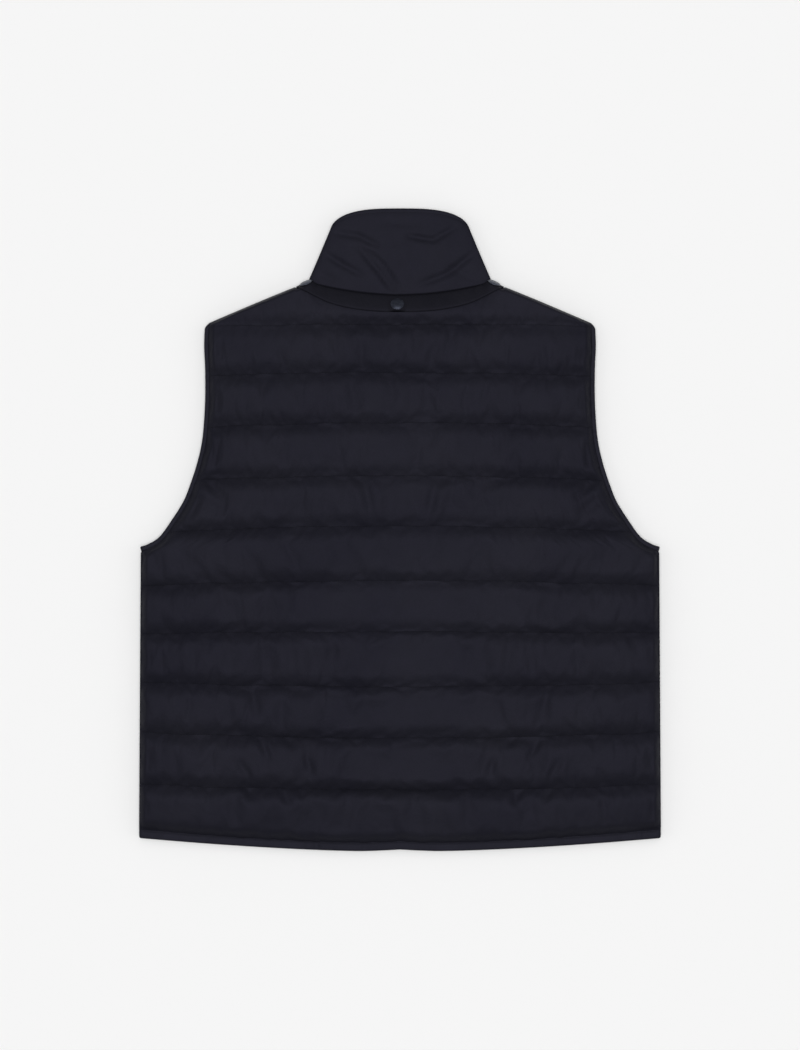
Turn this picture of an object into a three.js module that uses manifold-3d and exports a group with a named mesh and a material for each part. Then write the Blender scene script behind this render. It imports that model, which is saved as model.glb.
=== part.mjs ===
import * as THREE from "three";
import { mergeVertices } from "three/addons/utils/BufferGeometryUtils.js";
import Module from "manifold-3d";

// A quilted vest lying flat on its front, back up, zip closed and collar straight out.
// Millimetres: x across, y from hem to collar, z up from the surface that it lies on.
// Heights in the tables are measured from the hem's lowest point.

const LENGTH = 739.4; // hem's lowest point to the collar's top edge
const SEAM_GAP = 0.3; // clearance between neighbouring pieces

// Hem and side seams
const HEM_HALF = 300;
const UNDERARM_HALF = 298.2;
const UNDERARM_HEIGHT = 343;
const HEM_CORNER_RISE = 15;
const HEM_LOW_HALF = 45;
const HEM_CURVE = 1.5;
const HEM_NICK = 1.8;
const HEM_BAND = 10.5;

// Shoulders and neck
const NECK_HALF = 104.5;
const NECK_POINT = 653.3;
const SHOULDER_SLOPE = 0.4025;
const BACK_NECK = 638.8;
const BACK_NECK_CURVE = 1.9;
const FRONT_NECK = 570.2;
const FRONT_NECK_ROUND = 1.6;
const NECK_STEPS = 24;

// Heights above the surface
const MIDDLE = 10; // the plane where back and fronts lie on each other
const BACK_TOP = 25;
const BACK_EDGE = 13;
const BACK_NECK_EDGE = 16;
const FRONT_EDGE = 7;
const FRONT_NECK_EDGE = 5;
const FRONT_GROOVE = 4.5;

// How far the shaping reaches from a stitch line or an edge
const BACK_GROOVE_REACH = 27;
const BACK_EDGE_REACH = 25;
const BACK_NECK_REACH = 30;
const FRONT_REACH = 15;
const SIDE_REACH = 16;
const FRONT_OPENING = 9; // half distance between the fronts at the zip

// Armhole edge, from the underarm up to the shoulder tip
const ARMHOLE = [
  { half: 298.3, height: 349.5 },
  { half: 289.8, height: 352.6 },
  { half: 276.2, height: 361.8 },
  { half: 261.2, height: 382.5 },
  { half: 248.5, height: 403.2 },
  { half: 240.4, height: 423.9 },
  { half: 233.7, height: 444.6 },
  { half: 228.7, height: 465.3 },
  { half: 226.0, height: 486.0 },
  { half: 224.1, height: 519.5 },
  { half: 224.1, height: 552.7 },
  { half: 225.2, height: 580.0 },
  { half: 224.4, height: 606.0 },
];
const ARMHOLE_STEPS = 44;
const BINDING_WIDTH = 6;
const BINDING_THICK = 2.7;
const BINDING_GAP = 0.5; // room for the panels' straight facets inside the curved binding
const UNDERARM_ROWS = [9, 20, 34]; // distances along the armhole
const TIP_SLANT = 0.7; // how much shorter the binding's outer edge is at the shoulder tip

// Quilt lines from the hem up: height at the centre, shift at the sides, groove depth in the back
const QUILT_LINES = [
  { height: 73.4, sideShift: 6, centreDepth: 8, sideDepth: 7.5 },
  { height: 132.4, sideShift: 6.9, centreDepth: 7.5, sideDepth: 7.5 },
  { height: 191.4, sideShift: 5.3, centreDepth: 6.5, sideDepth: 7.5 },
  { height: 254.5, sideShift: -2, centreDepth: 6, sideDepth: 7 },
  { height: 312.9, sideShift: -5.7, centreDepth: 5.5, sideDepth: 7 },
  { height: 375.5, sideShift: -9, centreDepth: 5.5, sideDepth: 7 },
  { height: 433.1, sideShift: -7.5, centreDepth: 4.5, sideDepth: 7 },
  { height: 494.0, sideShift: -9, centreDepth: 5, sideDepth: 7 },
  { height: 551.9, sideShift: -8, centreDepth: 7.5, sideDepth: 7.5 },
  { height: 606.7, sideShift: -4, centreDepth: 7, sideDepth: 5 },
];
const ROW_STOPS = [0, 0.1, 0.28, 0.5, 0.72, 0.9];
const BACK_COLUMNS = [0, 0.12, 0.24, 0.36, 0.48, 0.6, 0.72, 0.83, 0.91, 0.96, 1];
const FRONT_COLUMNS = [0, 0.03, 0.09, 0.2, 0.35, 0.5, 0.65, 0.8, 0.9, 0.96, 1];

// Collar: one wall round a flattened tube, open at the centre front
const COLLAR = {
  topHalf: 80.8,
  foldTop: 714,
  cornerPower: 2.5,
  cornerRound: 0.4,
  frontTop: 670,
  thickness: 3,
  halfHeight: 5,
  flatness: 0.45,
  clearance: 0.7,
  quarterSteps: 11,
  rows: 6,
};

// Strip that carries the three snaps across the back of the neck
const STRIP = {
  lowEdge: 618.8,
  lowRise: 28.6,
  lowHalf: 119,
  lowPower: 2.6,
  thickness: 1.8,
  lift: 0.6,
  leaves: 84, // where it leaves the back for the shoulder fold
  foldLift: 0.5, // extra room over the bend at the shoulder
  foldReach: 1.6,
  foldHeight: 6.9,
  foldEnd: 140, // degrees round the fold
};
const STRIP_HALVES = [0, 13, 26, 39, 52, 65, 75, 84];
const STRIP_FOLD_STEPS = 4;
const STRIP_TURN_STEPS = 7;
const STRIP_ROWS = 4;

const SNAP = { radius: 7.75, centreX: -3.1, centreHeight: 629.2, alongFold: 0.62, tilt: 22 };
const SNAP_PROFILE = [
  { radius: 0, height: 0 },
  { radius: 7.3, height: 0 },
  { radius: 7.75, height: 0.5 },
  { radius: 7.5, height: 1.2 },
  { radius: 6.4, height: 1.9 },
  { radius: 5.4, height: 2.1 },
  { radius: 4.8, height: 1.8 },
  { radius: 3.0, height: 2.0 },
  { radius: 0, height: 2.15 },
];

// Closed zip down the centre front
const ZIP = {
  chainHalf: 2.9,
  chainLow: 6.1,
  chainHigh: 9,
  chainStart: 5,
  chainEnd: 662,
  tapeInner: 3.2,
  tapeOuter: 8.7,
  tapeLow: 6.9,
  tapeHigh: 8.1,
  tapeStart: 2.4,
};
const SLIDER = {
  low: 653,
  high: 671,
  halfTop: 5,
  halfLow: 4.2,
  outerLow: 4,
  outerHigh: 5.7,
  innerLow: 9.4,
  innerHigh: 10.6,
  postLow: 662.6,
  postHigh: 667.5,
  postHalf: 1.6,
  bridgeHalf: 1.2,
  bridgeReach: 4,
  bridgeLow: 1.2,
  bridgeThick: 1,
};
const PULL = {
  pivotHeight: 661,
  pivotZ: 3.1,
  thick: 1,
  half: 3.2,
  length: 29,
  windowHalf: 1.6,
  windowLength: 5.2,
};

const cloth = (name) =>
  new THREE.MeshStandardMaterial({ name, color: 0x25262d, roughness: 0.62, metalness: 0 });
const ripstop = cloth("shell_fabric");
const bindingCloth = cloth("binding_fabric");
const tapeCloth = new THREE.MeshStandardMaterial({ name: "zip_tape", color: 0x1f2026, roughness: 0.85 });
const gunmetal = new THREE.MeshStandardMaterial({
  name: "snap_metal",
  color: 0x55586a,
  roughness: 0.3,
  metalness: 0.9,
});
const zipPlastic = new THREE.MeshStandardMaterial({ name: "zip_teeth", color: 0x1c1d22, roughness: 0.45 });

const MERGE_DISTANCE = 1e-4;
const SNAP_SIDES = 20;
const SEEK_STEPS = 40; // halvings or steps when a row's end is looked for
const lerp = THREE.MathUtils.lerp;
const vest = new THREE.Group();

// Collects shared points and triangles and turns them into one closed, outward-facing mesh
class Solid {
  constructor() {
    this.points = [];
    this.faces = [];
  }
  point(x, height, z) {
    return this.points.push(new THREE.Vector3(x, height - LENGTH / 2, z)) - 1;
  }
  triangle(a, b, c) {
    this.faces.push([a, b, c]);
  }
  quad(a, b, c, d) {
    this.triangle(a, b, c);
    this.triangle(a, c, d);
  }
  volume() {
    const cross = new THREE.Vector3();
    return this.faces.reduce((sum, [a, b, c]) => {
      cross.crossVectors(this.points[b], this.points[c]);
      return sum + this.points[a].dot(cross) / 6;
    }, 0);
  }
  mesh(name, material) {
    const outward = this.volume() > 0;
    const order = outward ? this.faces : this.faces.map(([a, b, c]) => [a, c, b]);
    const geometry = new THREE.BufferGeometry().setFromPoints(this.points);
    geometry.setIndex(order.flat());
    return addMesh(name, geometry, material);
  }
}

function addMesh(name, geometry, material) {
  geometry.computeVertexNormals();
  const mesh = new THREE.Mesh(geometry, material);
  mesh.name = name;
  vest.add(mesh);
  return mesh;
}

// Joins a list of rings, each the same number of points, into a solid
function loft(rings, closed) {
  const solid = new Solid();
  const index = rings.map((ring) => ring.map((p) => solid.point(p.x, p.height, p.z)));
  const count = rings[0].length;
  const last = closed ? rings.length : rings.length - 1;
  for (let i = 0; i < last; i++) {
    const here = index[i];
    const next = index[(i + 1) % rings.length];
    for (let k = 0; k < count; k++) {
      const turn = (k + 1) % count;
      solid.quad(here[k], here[turn], next[turn], next[k]);
    }
  }
  if (!closed) {
    const start = index[0];
    const end = index[rings.length - 1];
    for (let k = 1; k < count - 1; k++) {
      solid.triangle(start[0], start[k + 1], start[k]);
      solid.triangle(end[0], end[k], end[k + 1]);
    }
  }
  return solid;
}

// The outline, in half widths and heights

function hemHeight(x) {
  const side = Math.max(0, (Math.abs(x) - HEM_LOW_HALF) / (HEM_HALF - HEM_LOW_HALF));
  const nick = Math.max(0, 1 - Math.abs(x) / HEM_LOW_HALF);
  return HEM_CORNER_RISE * side ** HEM_CURVE + HEM_NICK * nick ** HEM_CURVE;
}

const hemSeam = (x) => hemHeight(x) + HEM_BAND + SEAM_GAP;
const shoulderHeight = (x) => NECK_POINT - SHOULDER_SLOPE * (Math.abs(x) - NECK_HALF);

function backNeckHeight(x) {
  return BACK_NECK + (NECK_POINT - BACK_NECK) * (Math.abs(x) / NECK_HALF) ** BACK_NECK_CURVE;
}

const backTopHeight = (x) => (Math.abs(x) < NECK_HALF ? backNeckHeight(x) : shoulderHeight(x));

function frontNeckHeight(x, half = NECK_HALF, drop = NECK_POINT - FRONT_NECK) {
  const across = Math.min(1, Math.abs(x) / half);
  return NECK_POINT - drop * (1 - across ** FRONT_NECK_ROUND) ** (1 / FRONT_NECK_ROUND);
}

const armholeCurve = new THREE.CatmullRomCurve3(
  ARMHOLE.map((p) => new THREE.Vector3(p.half, p.height, 0)),
  false,
  "centripetal",
);
const armholeLength = armholeCurve.getLength();

// A point beside the armhole edge, offset towards the body
function besideArmhole(along, inwards) {
  const u = THREE.MathUtils.clamp(along / armholeLength, 0, 1);
  const point = armholeCurve.getPointAt(u);
  const tangent = armholeCurve.getTangentAt(u);
  const past = along - u * armholeLength;
  return {
    half: point.x + tangent.x * past - tangent.y * inwards,
    height: point.y + tangent.y * past + tangent.x * inwards,
  };
}

// Edge of the panels at the side seam and round the armhole, with height rising all the way
const sideSeam = [{ half: HEM_HALF, height: 0 }, { half: UNDERARM_HALF, height: UNDERARM_HEIGHT }];
for (let i = 0; i <= ARMHOLE_STEPS; i++) {
  const point = besideArmhole((armholeLength * i) / ARMHOLE_STEPS, BINDING_WIDTH + BINDING_GAP);
  if (point.half < UNDERARM_HALF && point.height > sideSeam.at(-1).height) sideSeam.push(point);
}

function seamHalf(height) {
  const next = sideSeam.findIndex((p) => p.height > height);
  if (next < 0) return sideSeam.at(-1).half;
  const [a, b] = [sideSeam[Math.max(0, next - 1)], sideSeam[next]];
  return lerp(a.half, b.half, (height - a.height) / (b.height - a.height || 1));
}

const frontOpening = [{ half: FRONT_OPENING, height: 0 }];
for (let i = 0; i <= NECK_STEPS; i++) {
  const half = lerp(FRONT_OPENING, NECK_HALF, Math.sin((Math.PI / 2) * (i / NECK_STEPS)));
  frontOpening.push({ half, height: frontNeckHeight(half) });
}

function distanceTo(line, x, height) {
  let nearest = Infinity;
  for (let i = 1; i < line.length; i++) {
    const [a, b] = [line[i - 1], line[i]];
    const run = { x: b.half - a.half, y: b.height - a.height };
    const along = (Math.abs(x) - a.half) * run.x + (height - a.height) * run.y;
    const part = THREE.MathUtils.clamp(along / (run.x ** 2 + run.y ** 2), 0, 1);
    const gap = Math.hypot(Math.abs(x) - a.half - run.x * part, height - a.height - run.y * part);
    nearest = Math.min(nearest, gap);
  }
  return nearest;
}

// The quilted surfaces

const lineHeight = (line, x) => line.height + line.sideShift * (x / HEM_HALF) ** 2;
const groove = (depth, distance, reach) => depth * Math.max(0, 1 - Math.abs(distance) / reach) ** 2;

// 0 at an edge, rising as a quarter ellipse to 1
function roundOff(distance, reach) {
  const part = THREE.MathUtils.clamp(1 - distance / reach, 0, 1);
  return Math.sqrt(1 - part ** 2);
}

function backSurface(x, height) {
  let z = BACK_TOP;
  for (const line of QUILT_LINES) {
    const depth = lerp(line.centreDepth, line.sideDepth, Math.abs(x) / HEM_HALF);
    z -= groove(depth, height - lineHeight(line, x), BACK_GROOVE_REACH);
  }
  z -= groove(BACK_TOP - BACK_EDGE, height - hemSeam(x), BACK_EDGE_REACH);
  z -= groove(BACK_TOP - BACK_NECK_EDGE, backTopHeight(x) - height, BACK_NECK_REACH);
  z = Math.max(z, BACK_EDGE);
  return lerp(BACK_EDGE, z, roundOff(distanceTo(sideSeam, x, height), SIDE_REACH));
}

function frontSurface(x, height) {
  let rise = groove(FRONT_EDGE, height - hemSeam(x), FRONT_REACH);
  for (const line of QUILT_LINES) {
    rise += groove(FRONT_GROOVE, height - lineHeight(line, x), FRONT_REACH);
  }
  rise += groove(FRONT_NECK_EDGE, shoulderHeight(x) - height, FRONT_REACH);
  rise = Math.min(rise, FRONT_EDGE);
  const opening = 1 - roundOff(distanceTo(frontOpening, x, height), FRONT_REACH);
  rise = lerp(rise, Math.max(rise, FRONT_NECK_EDGE), opening);
  const side = 1 - roundOff(distanceTo(sideSeam, x, height), SIDE_REACH);
  return lerp(rise, FRONT_EDGE, side);
}

// Rows of points for one panel, running along the quilt lines from the hem seam to the top
function panelRows({ top, start, columns, surface, corners }) {
  const levels = [hemSeam, ...QUILT_LINES.map((line) => (x) => lineHeight(line, x)), top];
  const rows = [];
  const addRow = (heightAt) => {
    let end = HEM_HALF;
    for (let i = 0; i < SEEK_STEPS; i++) end = seamHalf(heightAt(end));
    const begin = start(heightAt, end);
    rows.push(
      columns.map((u) => {
        const x = u < 0 ? end * u : lerp(begin, end, u);
        return { x, height: heightAt(x), z: surface(x, heightAt(x)) };
      }),
    );
  };
  for (let i = 0; i + 1 < levels.length; i++) {
    const extra = corners
      .map((c) => (c.height - levels[i](c.half)) / (levels[i + 1](c.half) - levels[i](c.half)))
      .filter((t) => t > 0 && t < 1);
    for (const t of [...ROW_STOPS, ...extra].sort((a, b) => a - b)) {
      addRow((x) => lerp(levels[i](x), levels[i + 1](x), t));
    }
  }
  addRow(top);
  return rows;
}

// A quilted outside over a plain flat inside, closed all round
function panelSolid(rows, inside, fullRow) {
  const solid = new Solid();
  const outer = rows.map((row) => row.map((p) => solid.point(p.x, p.height, p.z)));
  const end = rows[0].length - 1;
  const top = rows.length - 1;
  const made = new Map();
  const inner = (r, c) => {
    const key = `${r},${c}`;
    if (!made.has(key)) made.set(key, solid.point(rows[r][c].x, rows[r][c].height, inside));
    return made.get(key);
  };
  for (let r = 0; r < top; r++) {
    for (let c = 0; c < end; c++) {
      solid.quad(outer[r][c], outer[r][c + 1], outer[r + 1][c + 1], outer[r + 1][c]);
    }
  }
  for (let c = 0; c < end; c++) solid.triangle(inner(1, 0), inner(0, c + 1), inner(0, c));
  solid.triangle(inner(1, 0), inner(1, end), inner(0, end));
  for (let r = 1; r < fullRow - 1; r++) {
    solid.quad(inner(r, 0), inner(r + 1, 0), inner(r + 1, end), inner(r, end));
  }
  const below = fullRow - 1;
  for (let c = 0; c < end; c++) {
    solid.triangle(inner(below, end), inner(fullRow, c), inner(fullRow, c + 1));
  }
  solid.triangle(inner(below, end), inner(below, 0), inner(fullRow, 0));
  for (let c = 1; c < end - 1; c++) {
    solid.quad(inner(fullRow, c), inner(top, c), inner(top, c + 1), inner(fullRow, c + 1));
  }
  for (let r = fullRow; r < top; r++) {
    solid.triangle(inner(fullRow, 1), inner(r, 0), inner(r + 1, 0));
    solid.triangle(inner(fullRow, end - 1), inner(r + 1, end), inner(r, end));
  }
  solid.triangle(inner(fullRow, 1), inner(top, 0), inner(top, 1));
  solid.triangle(inner(fullRow, end - 1), inner(top, end - 1), inner(top, end));
  const rim = [];
  for (let c = 0; c < end; c++) rim.push([0, c]);
  for (let r = 0; r < top; r++) rim.push([r, end]);
  for (let c = end; c > 0; c--) rim.push([top, c]);
  for (let r = top; r > 0; r--) rim.push([r, 0]);
  rim.forEach(([r, c], i) => {
    const [r2, c2] = rim[(i + 1) % rim.length];
    solid.quad(inner(r, c), inner(r2, c2), outer[r2][c2], outer[r][c]);
  });
  return solid;
}

// Extra rows where the seam turns from the side into the armhole
const underarmTurns = UNDERARM_ROWS.map((along) => besideArmhole(along, BINDING_WIDTH + BINDING_GAP));
underarmTurns.unshift({ half: UNDERARM_HALF, height: UNDERARM_HEIGHT });
const yokeRow = (rows) => rows.length - 1 - ROW_STOPS.length;

function buildBack() {
  const mirrored = BACK_COLUMNS.slice(1).map((u) => -u).reverse();
  const rows = panelRows({
    top: backTopHeight,
    start: () => 0,
    columns: [...mirrored, ...BACK_COLUMNS],
    surface: backSurface,
    corners: underarmTurns,
  });
  panelSolid(rows, MIDDLE + SEAM_GAP / 2, yokeRow(rows)).mesh("back_panel", ripstop);
}

// Where a row of the front begins: at the zip, or on the neck curve above it
function frontStart(heightAt) {
  if (heightAt(FRONT_OPENING) <= frontNeckHeight(FRONT_OPENING) + MERGE_DISTANCE) return FRONT_OPENING;
  let [low, high] = [FRONT_OPENING, NECK_HALF];
  for (let i = 0; i < SEEK_STEPS; i++) {
    const middle = (low + high) / 2;
    if (frontNeckHeight(middle) < heightAt(middle)) low = middle;
    else high = middle;
  }
  return high;
}

function buildFront(name, side) {
  const neckCorner = { half: FRONT_OPENING, height: frontNeckHeight(FRONT_OPENING) };
  const rows = panelRows({
    top: shoulderHeight,
    start: frontStart,
    columns: FRONT_COLUMNS,
    surface: frontSurface,
    corners: [...underarmTurns, neckCorner],
  });
  const placed = rows.map((row) => row.map((p) => ({ ...p, x: p.x * side })));
  panelSolid(placed, MIDDLE - SEAM_GAP / 2, rows.length - 2).mesh(name, ripstop);
}

// One point of the collar: quarter turn from a side fold to the centre, 0 at the base and 1 at the top
function collarPoint(side, back, turn, up, inset) {
  const angle = (Math.PI / 2) * turn;
  const across = Math.cos(angle);
  const centre = back ? 0 : FRONT_OPENING;
  const baseHalf = NECK_HALF - COLLAR.clearance;
  const baseX = lerp(centre, baseHalf - inset, across);
  const topX = lerp(centre, COLLAR.topHalf - inset, across);
  const corner = (1 - across ** COLLAR.cornerPower) ** COLLAR.cornerRound;
  const neckDrop = NECK_POINT - FRONT_NECK - COLLAR.clearance;
  const base = back
    ? BACK_NECK + (NECK_POINT - BACK_NECK) * across ** BACK_NECK_CURVE
    : frontNeckHeight(baseX, baseHalf - inset, neckDrop);
  const topEdge = back
    ? lerp(COLLAR.foldTop, LENGTH, corner)
    : lerp(COLLAR.frontTop, COLLAR.foldTop, across ** 2);
  const reach = (COLLAR.halfHeight - inset) * Math.sin(angle) ** COLLAR.flatness;
  return {
    x: side * lerp(baseX, topX, up),
    height: lerp(base + SEAM_GAP, topEdge, up),
    z: MIDDLE + (back ? reach : -reach),
  };
}

function buildCollar() {
  const stations = [];
  const steps = COLLAR.quarterSteps;
  for (let i = steps; i > 0; i--) stations.push([-1, false, i / steps]);
  for (let i = 0; i < steps; i++) stations.push([-1, true, i / steps]);
  for (let i = steps; i > 0; i--) stations.push([1, true, i / steps]);
  for (let i = 0; i <= steps; i++) stations.push([1, false, i / steps]);
  const rings = stations.map(([side, back, turn]) => {
    const ring = [];
    for (let r = 0; r <= COLLAR.rows; r++) {
      ring.push(collarPoint(side, back, turn, r / COLLAR.rows, 0));
    }
    for (let r = COLLAR.rows; r >= 0; r--) {
      ring.push(collarPoint(side, back, turn, r / COLLAR.rows, COLLAR.thickness));
    }
    return ring;
  });
  loft(rings, false).mesh("collar", ripstop);
}

// A band round a flattened edge: up over the back, round the fold and back along the fronts
const BAND_SECTION = [
  { across: 0, out: 0 },
  { across: 1, out: 0 },
  { across: 1, out: 0.65 },
  { across: 0.8, out: 1 },
  { across: 0.2, out: 1 },
  { across: 0, out: 0.65 },
];
const FOLD_TURNS = 5;

// Height above the middle and pull-back from the fold for a band point
function bandOffset(out, angle) {
  const radius = SEAM_GAP / 2 + BINDING_THICK * out;
  return { up: radius * Math.cos(angle), past: radius * Math.sin(angle) };
}

function buildArmholeBinding(name, side) {
  const radius = SEAM_GAP / 2 + BINDING_THICK;
  const stations = [];
  const turn = (towards) => {
    for (let i = 0; i <= FOLD_TURNS; i++) {
      const angle = (Math.PI * i) / FOLD_TURNS;
      stations.push({ part: towards, angle: towards ? angle : angle + Math.PI });
    }
  };
  turn(1);
  for (let i = ARMHOLE_STEPS - 1; i > 0; i--) stations.push({ part: i / ARMHOLE_STEPS, angle: Math.PI });
  turn(0);
  for (let i = 1; i < ARMHOLE_STEPS; i++) stations.push({ part: i / ARMHOLE_STEPS, angle: 0 });
  const rings = stations.map(({ part, angle }) =>
    BAND_SECTION.map(({ across, out }) => {
      const { up, past } = bandOffset(out, angle);
      const tip = armholeLength - radius - TIP_SLANT * BINDING_WIDTH * (1 - across);
      const point = besideArmhole(lerp(radius, tip, part) + past, BINDING_WIDTH * across);
      return { x: side * point.half, height: point.height, z: MIDDLE + up };
    }),
  );
  loft(rings, true).mesh(name, bindingCloth);
}

function buildHemBinding() {
  const radius = SEAM_GAP / 2 + BINDING_THICK;
  const limit = HEM_HALF - radius;
  const stations = [];
  const lower = FRONT_COLUMNS.map((u) => lerp(FRONT_OPENING, limit, u));
  for (const x of lower.slice(0, -1)) stations.push({ x: -x, angle: Math.PI });
  for (let i = 0; i <= FOLD_TURNS; i++) stations.push({ x: -limit, angle: Math.PI * (1 + i / FOLD_TURNS) });
  for (const u of BACK_COLUMNS.slice(1, -1).reverse()) stations.push({ x: -u * limit, angle: 0 });
  for (const u of BACK_COLUMNS.slice(0, -1)) stations.push({ x: u * limit, angle: 0 });
  for (let i = 0; i <= FOLD_TURNS; i++) stations.push({ x: limit, angle: (Math.PI * i) / FOLD_TURNS });
  for (const x of lower.slice(0, -1).reverse()) stations.push({ x, angle: Math.PI });
  const rings = stations.map(({ x, angle }) =>
    BAND_SECTION.map(({ across, out }) => {
      const { up, past } = bandOffset(out, angle);
      return { x: x + past, height: hemHeight(x + past) + HEM_BAND * across, z: MIDDLE + up };
    }),
  );
  loft(rings, false).mesh("hem_binding", bindingCloth);
}

// The snap strip, from its lower to its upper edge, laid on the back and turned over the shoulder fold

const stripLow = (x) => STRIP.lowEdge + STRIP.lowRise * (Math.abs(x) / STRIP.lowHalf) ** STRIP.lowPower;
const stripHigh = (x) => backNeckHeight(x) - SEAM_GAP;
const shoulderNormal = new THREE.Vector2(SHOULDER_SLOPE, 1).normalize();

function foldPoint(width, angle, out) {
  const x = lerp(STRIP.lowHalf, NECK_HALF, width);
  const reach = STRIP.foldReach + out;
  const lift = STRIP.foldHeight + out;
  return {
    x: x + shoulderNormal.x * reach * Math.sin(angle),
    height: shoulderHeight(x) + shoulderNormal.y * reach * Math.sin(angle),
    z: MIDDLE + lift * Math.cos(angle),
  };
}

function stripPoint(station, width, out) {
  const { x, fold, angle } = station;
  if (angle !== undefined) return foldPoint(width, angle, out);
  const flatHeight = lerp(stripLow(x), stripHigh(x), width);
  const flat = { x, height: flatHeight, z: backSurface(x, flatHeight) + STRIP.lift + out };
  if (!fold) return flat;
  const turned = foldPoint(width, 0, out);
  const mid = { x: lerp(x, turned.x, fold), height: lerp(flatHeight, turned.height, fold) };
  const clear = backSurface(mid.x, mid.height) + STRIP.lift + STRIP.foldLift + out;
  return { ...mid, z: Math.max(clear, lerp(flat.z, turned.z, fold)) };
}

function stripStations() {
  const half = STRIP_HALVES.map((x) => ({ x }));
  for (let i = 1; i < STRIP_FOLD_STEPS; i++) half.push({ x: STRIP.leaves, fold: i / STRIP_FOLD_STEPS });
  for (let i = 0; i <= STRIP_TURN_STEPS; i++) {
    const angle = THREE.MathUtils.degToRad((STRIP.foldEnd * i) / STRIP_TURN_STEPS);
    half.push({ x: STRIP.lowHalf, angle });
  }
  return half;
}

function buildStrip() {
  const half = stripStations();
  const ringAt = (station, side) => {
    const ring = [];
    for (let r = 0; r <= STRIP_ROWS; r++) ring.push(stripPoint(station, r / STRIP_ROWS, 0));
    for (let r = STRIP_ROWS; r >= 0; r--) {
      ring.push(stripPoint(station, r / STRIP_ROWS, STRIP.thickness));
    }
    return ring.map((p) => ({ ...p, x: p.x * side }));
  };
  const left = half.slice(1).reverse().map((s) => ringAt(s, -1));
  const right = half.map((s) => ringAt(s, 1));
  loft([...left, ...right], false).mesh("neck_strip", bindingCloth);
}

function snapGeometry() {
  const profile = SNAP_PROFILE.map((p) => new THREE.Vector2(p.radius, p.height));
  const geometry = new THREE.LatheGeometry(profile, SNAP_SIDES).rotateX(Math.PI / 2);
  geometry.deleteAttribute("normal");
  geometry.deleteAttribute("uv");
  return mergeVertices(geometry, MERGE_DISTANCE);
}

function placeSnap(name, centre, direction) {
  const mesh = addMesh(name, snapGeometry(), gunmetal);
  mesh.position.set(centre.x, centre.y - LENGTH / 2, centre.z);
  mesh.quaternion.setFromUnitVectors(new THREE.Vector3(0, 0, 1), direction);
}

function buildSnaps() {
  const { centreX, centreHeight, radius } = SNAP;
  const above = STRIP.lift + STRIP.thickness;
  const at = (dx, dy) => backSurface(centreX + dx, centreHeight + dy) + above;
  const slope = (at(0, radius) - at(0, -radius)) / (2 * radius);
  const direction = new THREE.Vector3(0, -slope, 1).normalize();
  let lift = 0;
  for (let dy = -radius; dy <= radius; dy += radius / 4) {
    lift = Math.max(lift, at(0, dy) - slope * dy - at(0, 0));
  }
  const base = new THREE.Vector3(centreX, centreHeight, at(0, 0) + lift + SEAM_GAP);
  placeSnap("snap_centre", base, direction);
  const tilt = THREE.MathUtils.degToRad(SNAP.tilt);
  for (const [name, side] of [["snap_left", -1], ["snap_right", 1]]) {
    const flat = Math.cos(tilt);
    const out = new THREE.Vector3(side * shoulderNormal.x * flat, shoulderNormal.y * flat, Math.sin(tilt));
    const reach = STRIP.foldReach + STRIP.thickness;
    const rise = STRIP.foldHeight + STRIP.thickness;
    const angle = Math.atan2(reach * flat, rise * Math.sin(tilt));
    const seat = foldPoint(SNAP.alongFold, angle, STRIP.thickness);
    const centre = new THREE.Vector3(side * seat.x, seat.height, seat.z).addScaledVector(out, SEAM_GAP);
    placeSnap(name, centre, out);
  }
}

// Zip pieces

function buildTapes() {
  const width = ZIP.tapeOuter - ZIP.tapeInner;
  const length = COLLAR.frontTop - ZIP.tapeStart;
  for (const [name, side] of [["zip_tape_left", -1], ["zip_tape_right", 1]]) {
    const box = new THREE.BoxGeometry(width, length, ZIP.tapeHigh - ZIP.tapeLow);
    const mesh = addMesh(name, box, tapeCloth);
    const centreHeight = ZIP.tapeStart + length / 2 - LENGTH / 2;
    mesh.position.set(side * (ZIP.tapeInner + width / 2), centreHeight, (ZIP.tapeLow + ZIP.tapeHigh) / 2);
  }
}

function buildChain() {
  const length = ZIP.chainEnd - ZIP.chainStart;
  const box = new THREE.BoxGeometry(2 * ZIP.chainHalf, length, ZIP.chainHigh - ZIP.chainLow);
  const mesh = addMesh("zip_chain", box, zipPlastic);
  mesh.position.set(0, ZIP.chainStart + length / 2 - LENGTH / 2, (ZIP.chainLow + ZIP.chainHigh) / 2);
}

const library = await Module();
library.setup();

function manifoldOf(source) {
  const plain = source.clone();
  plain.deleteAttribute("normal");
  plain.deleteAttribute("uv");
  const merged = mergeVertices(plain, MERGE_DISTANCE);
  return new library.Manifold(
    new library.Mesh({
      numProp: 3,
      vertProperties: new Float32Array(merged.attributes.position.array),
      triVerts: new Uint32Array(merged.index.array),
    }),
  );
}

function geometryOf(manifold) {
  const { vertProperties, triVerts } = manifold.getMesh();
  const geometry = new THREE.BufferGeometry();
  geometry.setAttribute("position", new THREE.BufferAttribute(vertProperties, 3));
  geometry.setIndex(new THREE.BufferAttribute(triVerts, 1));
  return geometry;
}

// A flat piece from an outline in x and height, between two levels
function plate(shape, low, high) {
  const options = { depth: high - low, bevelEnabled: false, curveSegments: 6 };
  return new THREE.ExtrudeGeometry(shape, options).translate(0, -LENGTH / 2, low);
}

function sliderOutline() {
  const { low, high, halfTop, halfLow } = SLIDER;
  const shape = new THREE.Shape();
  shape.moveTo(-halfLow, low);
  shape.lineTo(halfLow, low);
  shape.lineTo(halfTop, high - halfTop);
  shape.quadraticCurveTo(halfTop, high, 0, high);
  shape.quadraticCurveTo(-halfTop, high, -halfTop, high - halfTop);
  shape.closePath();
  return shape;
}

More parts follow.
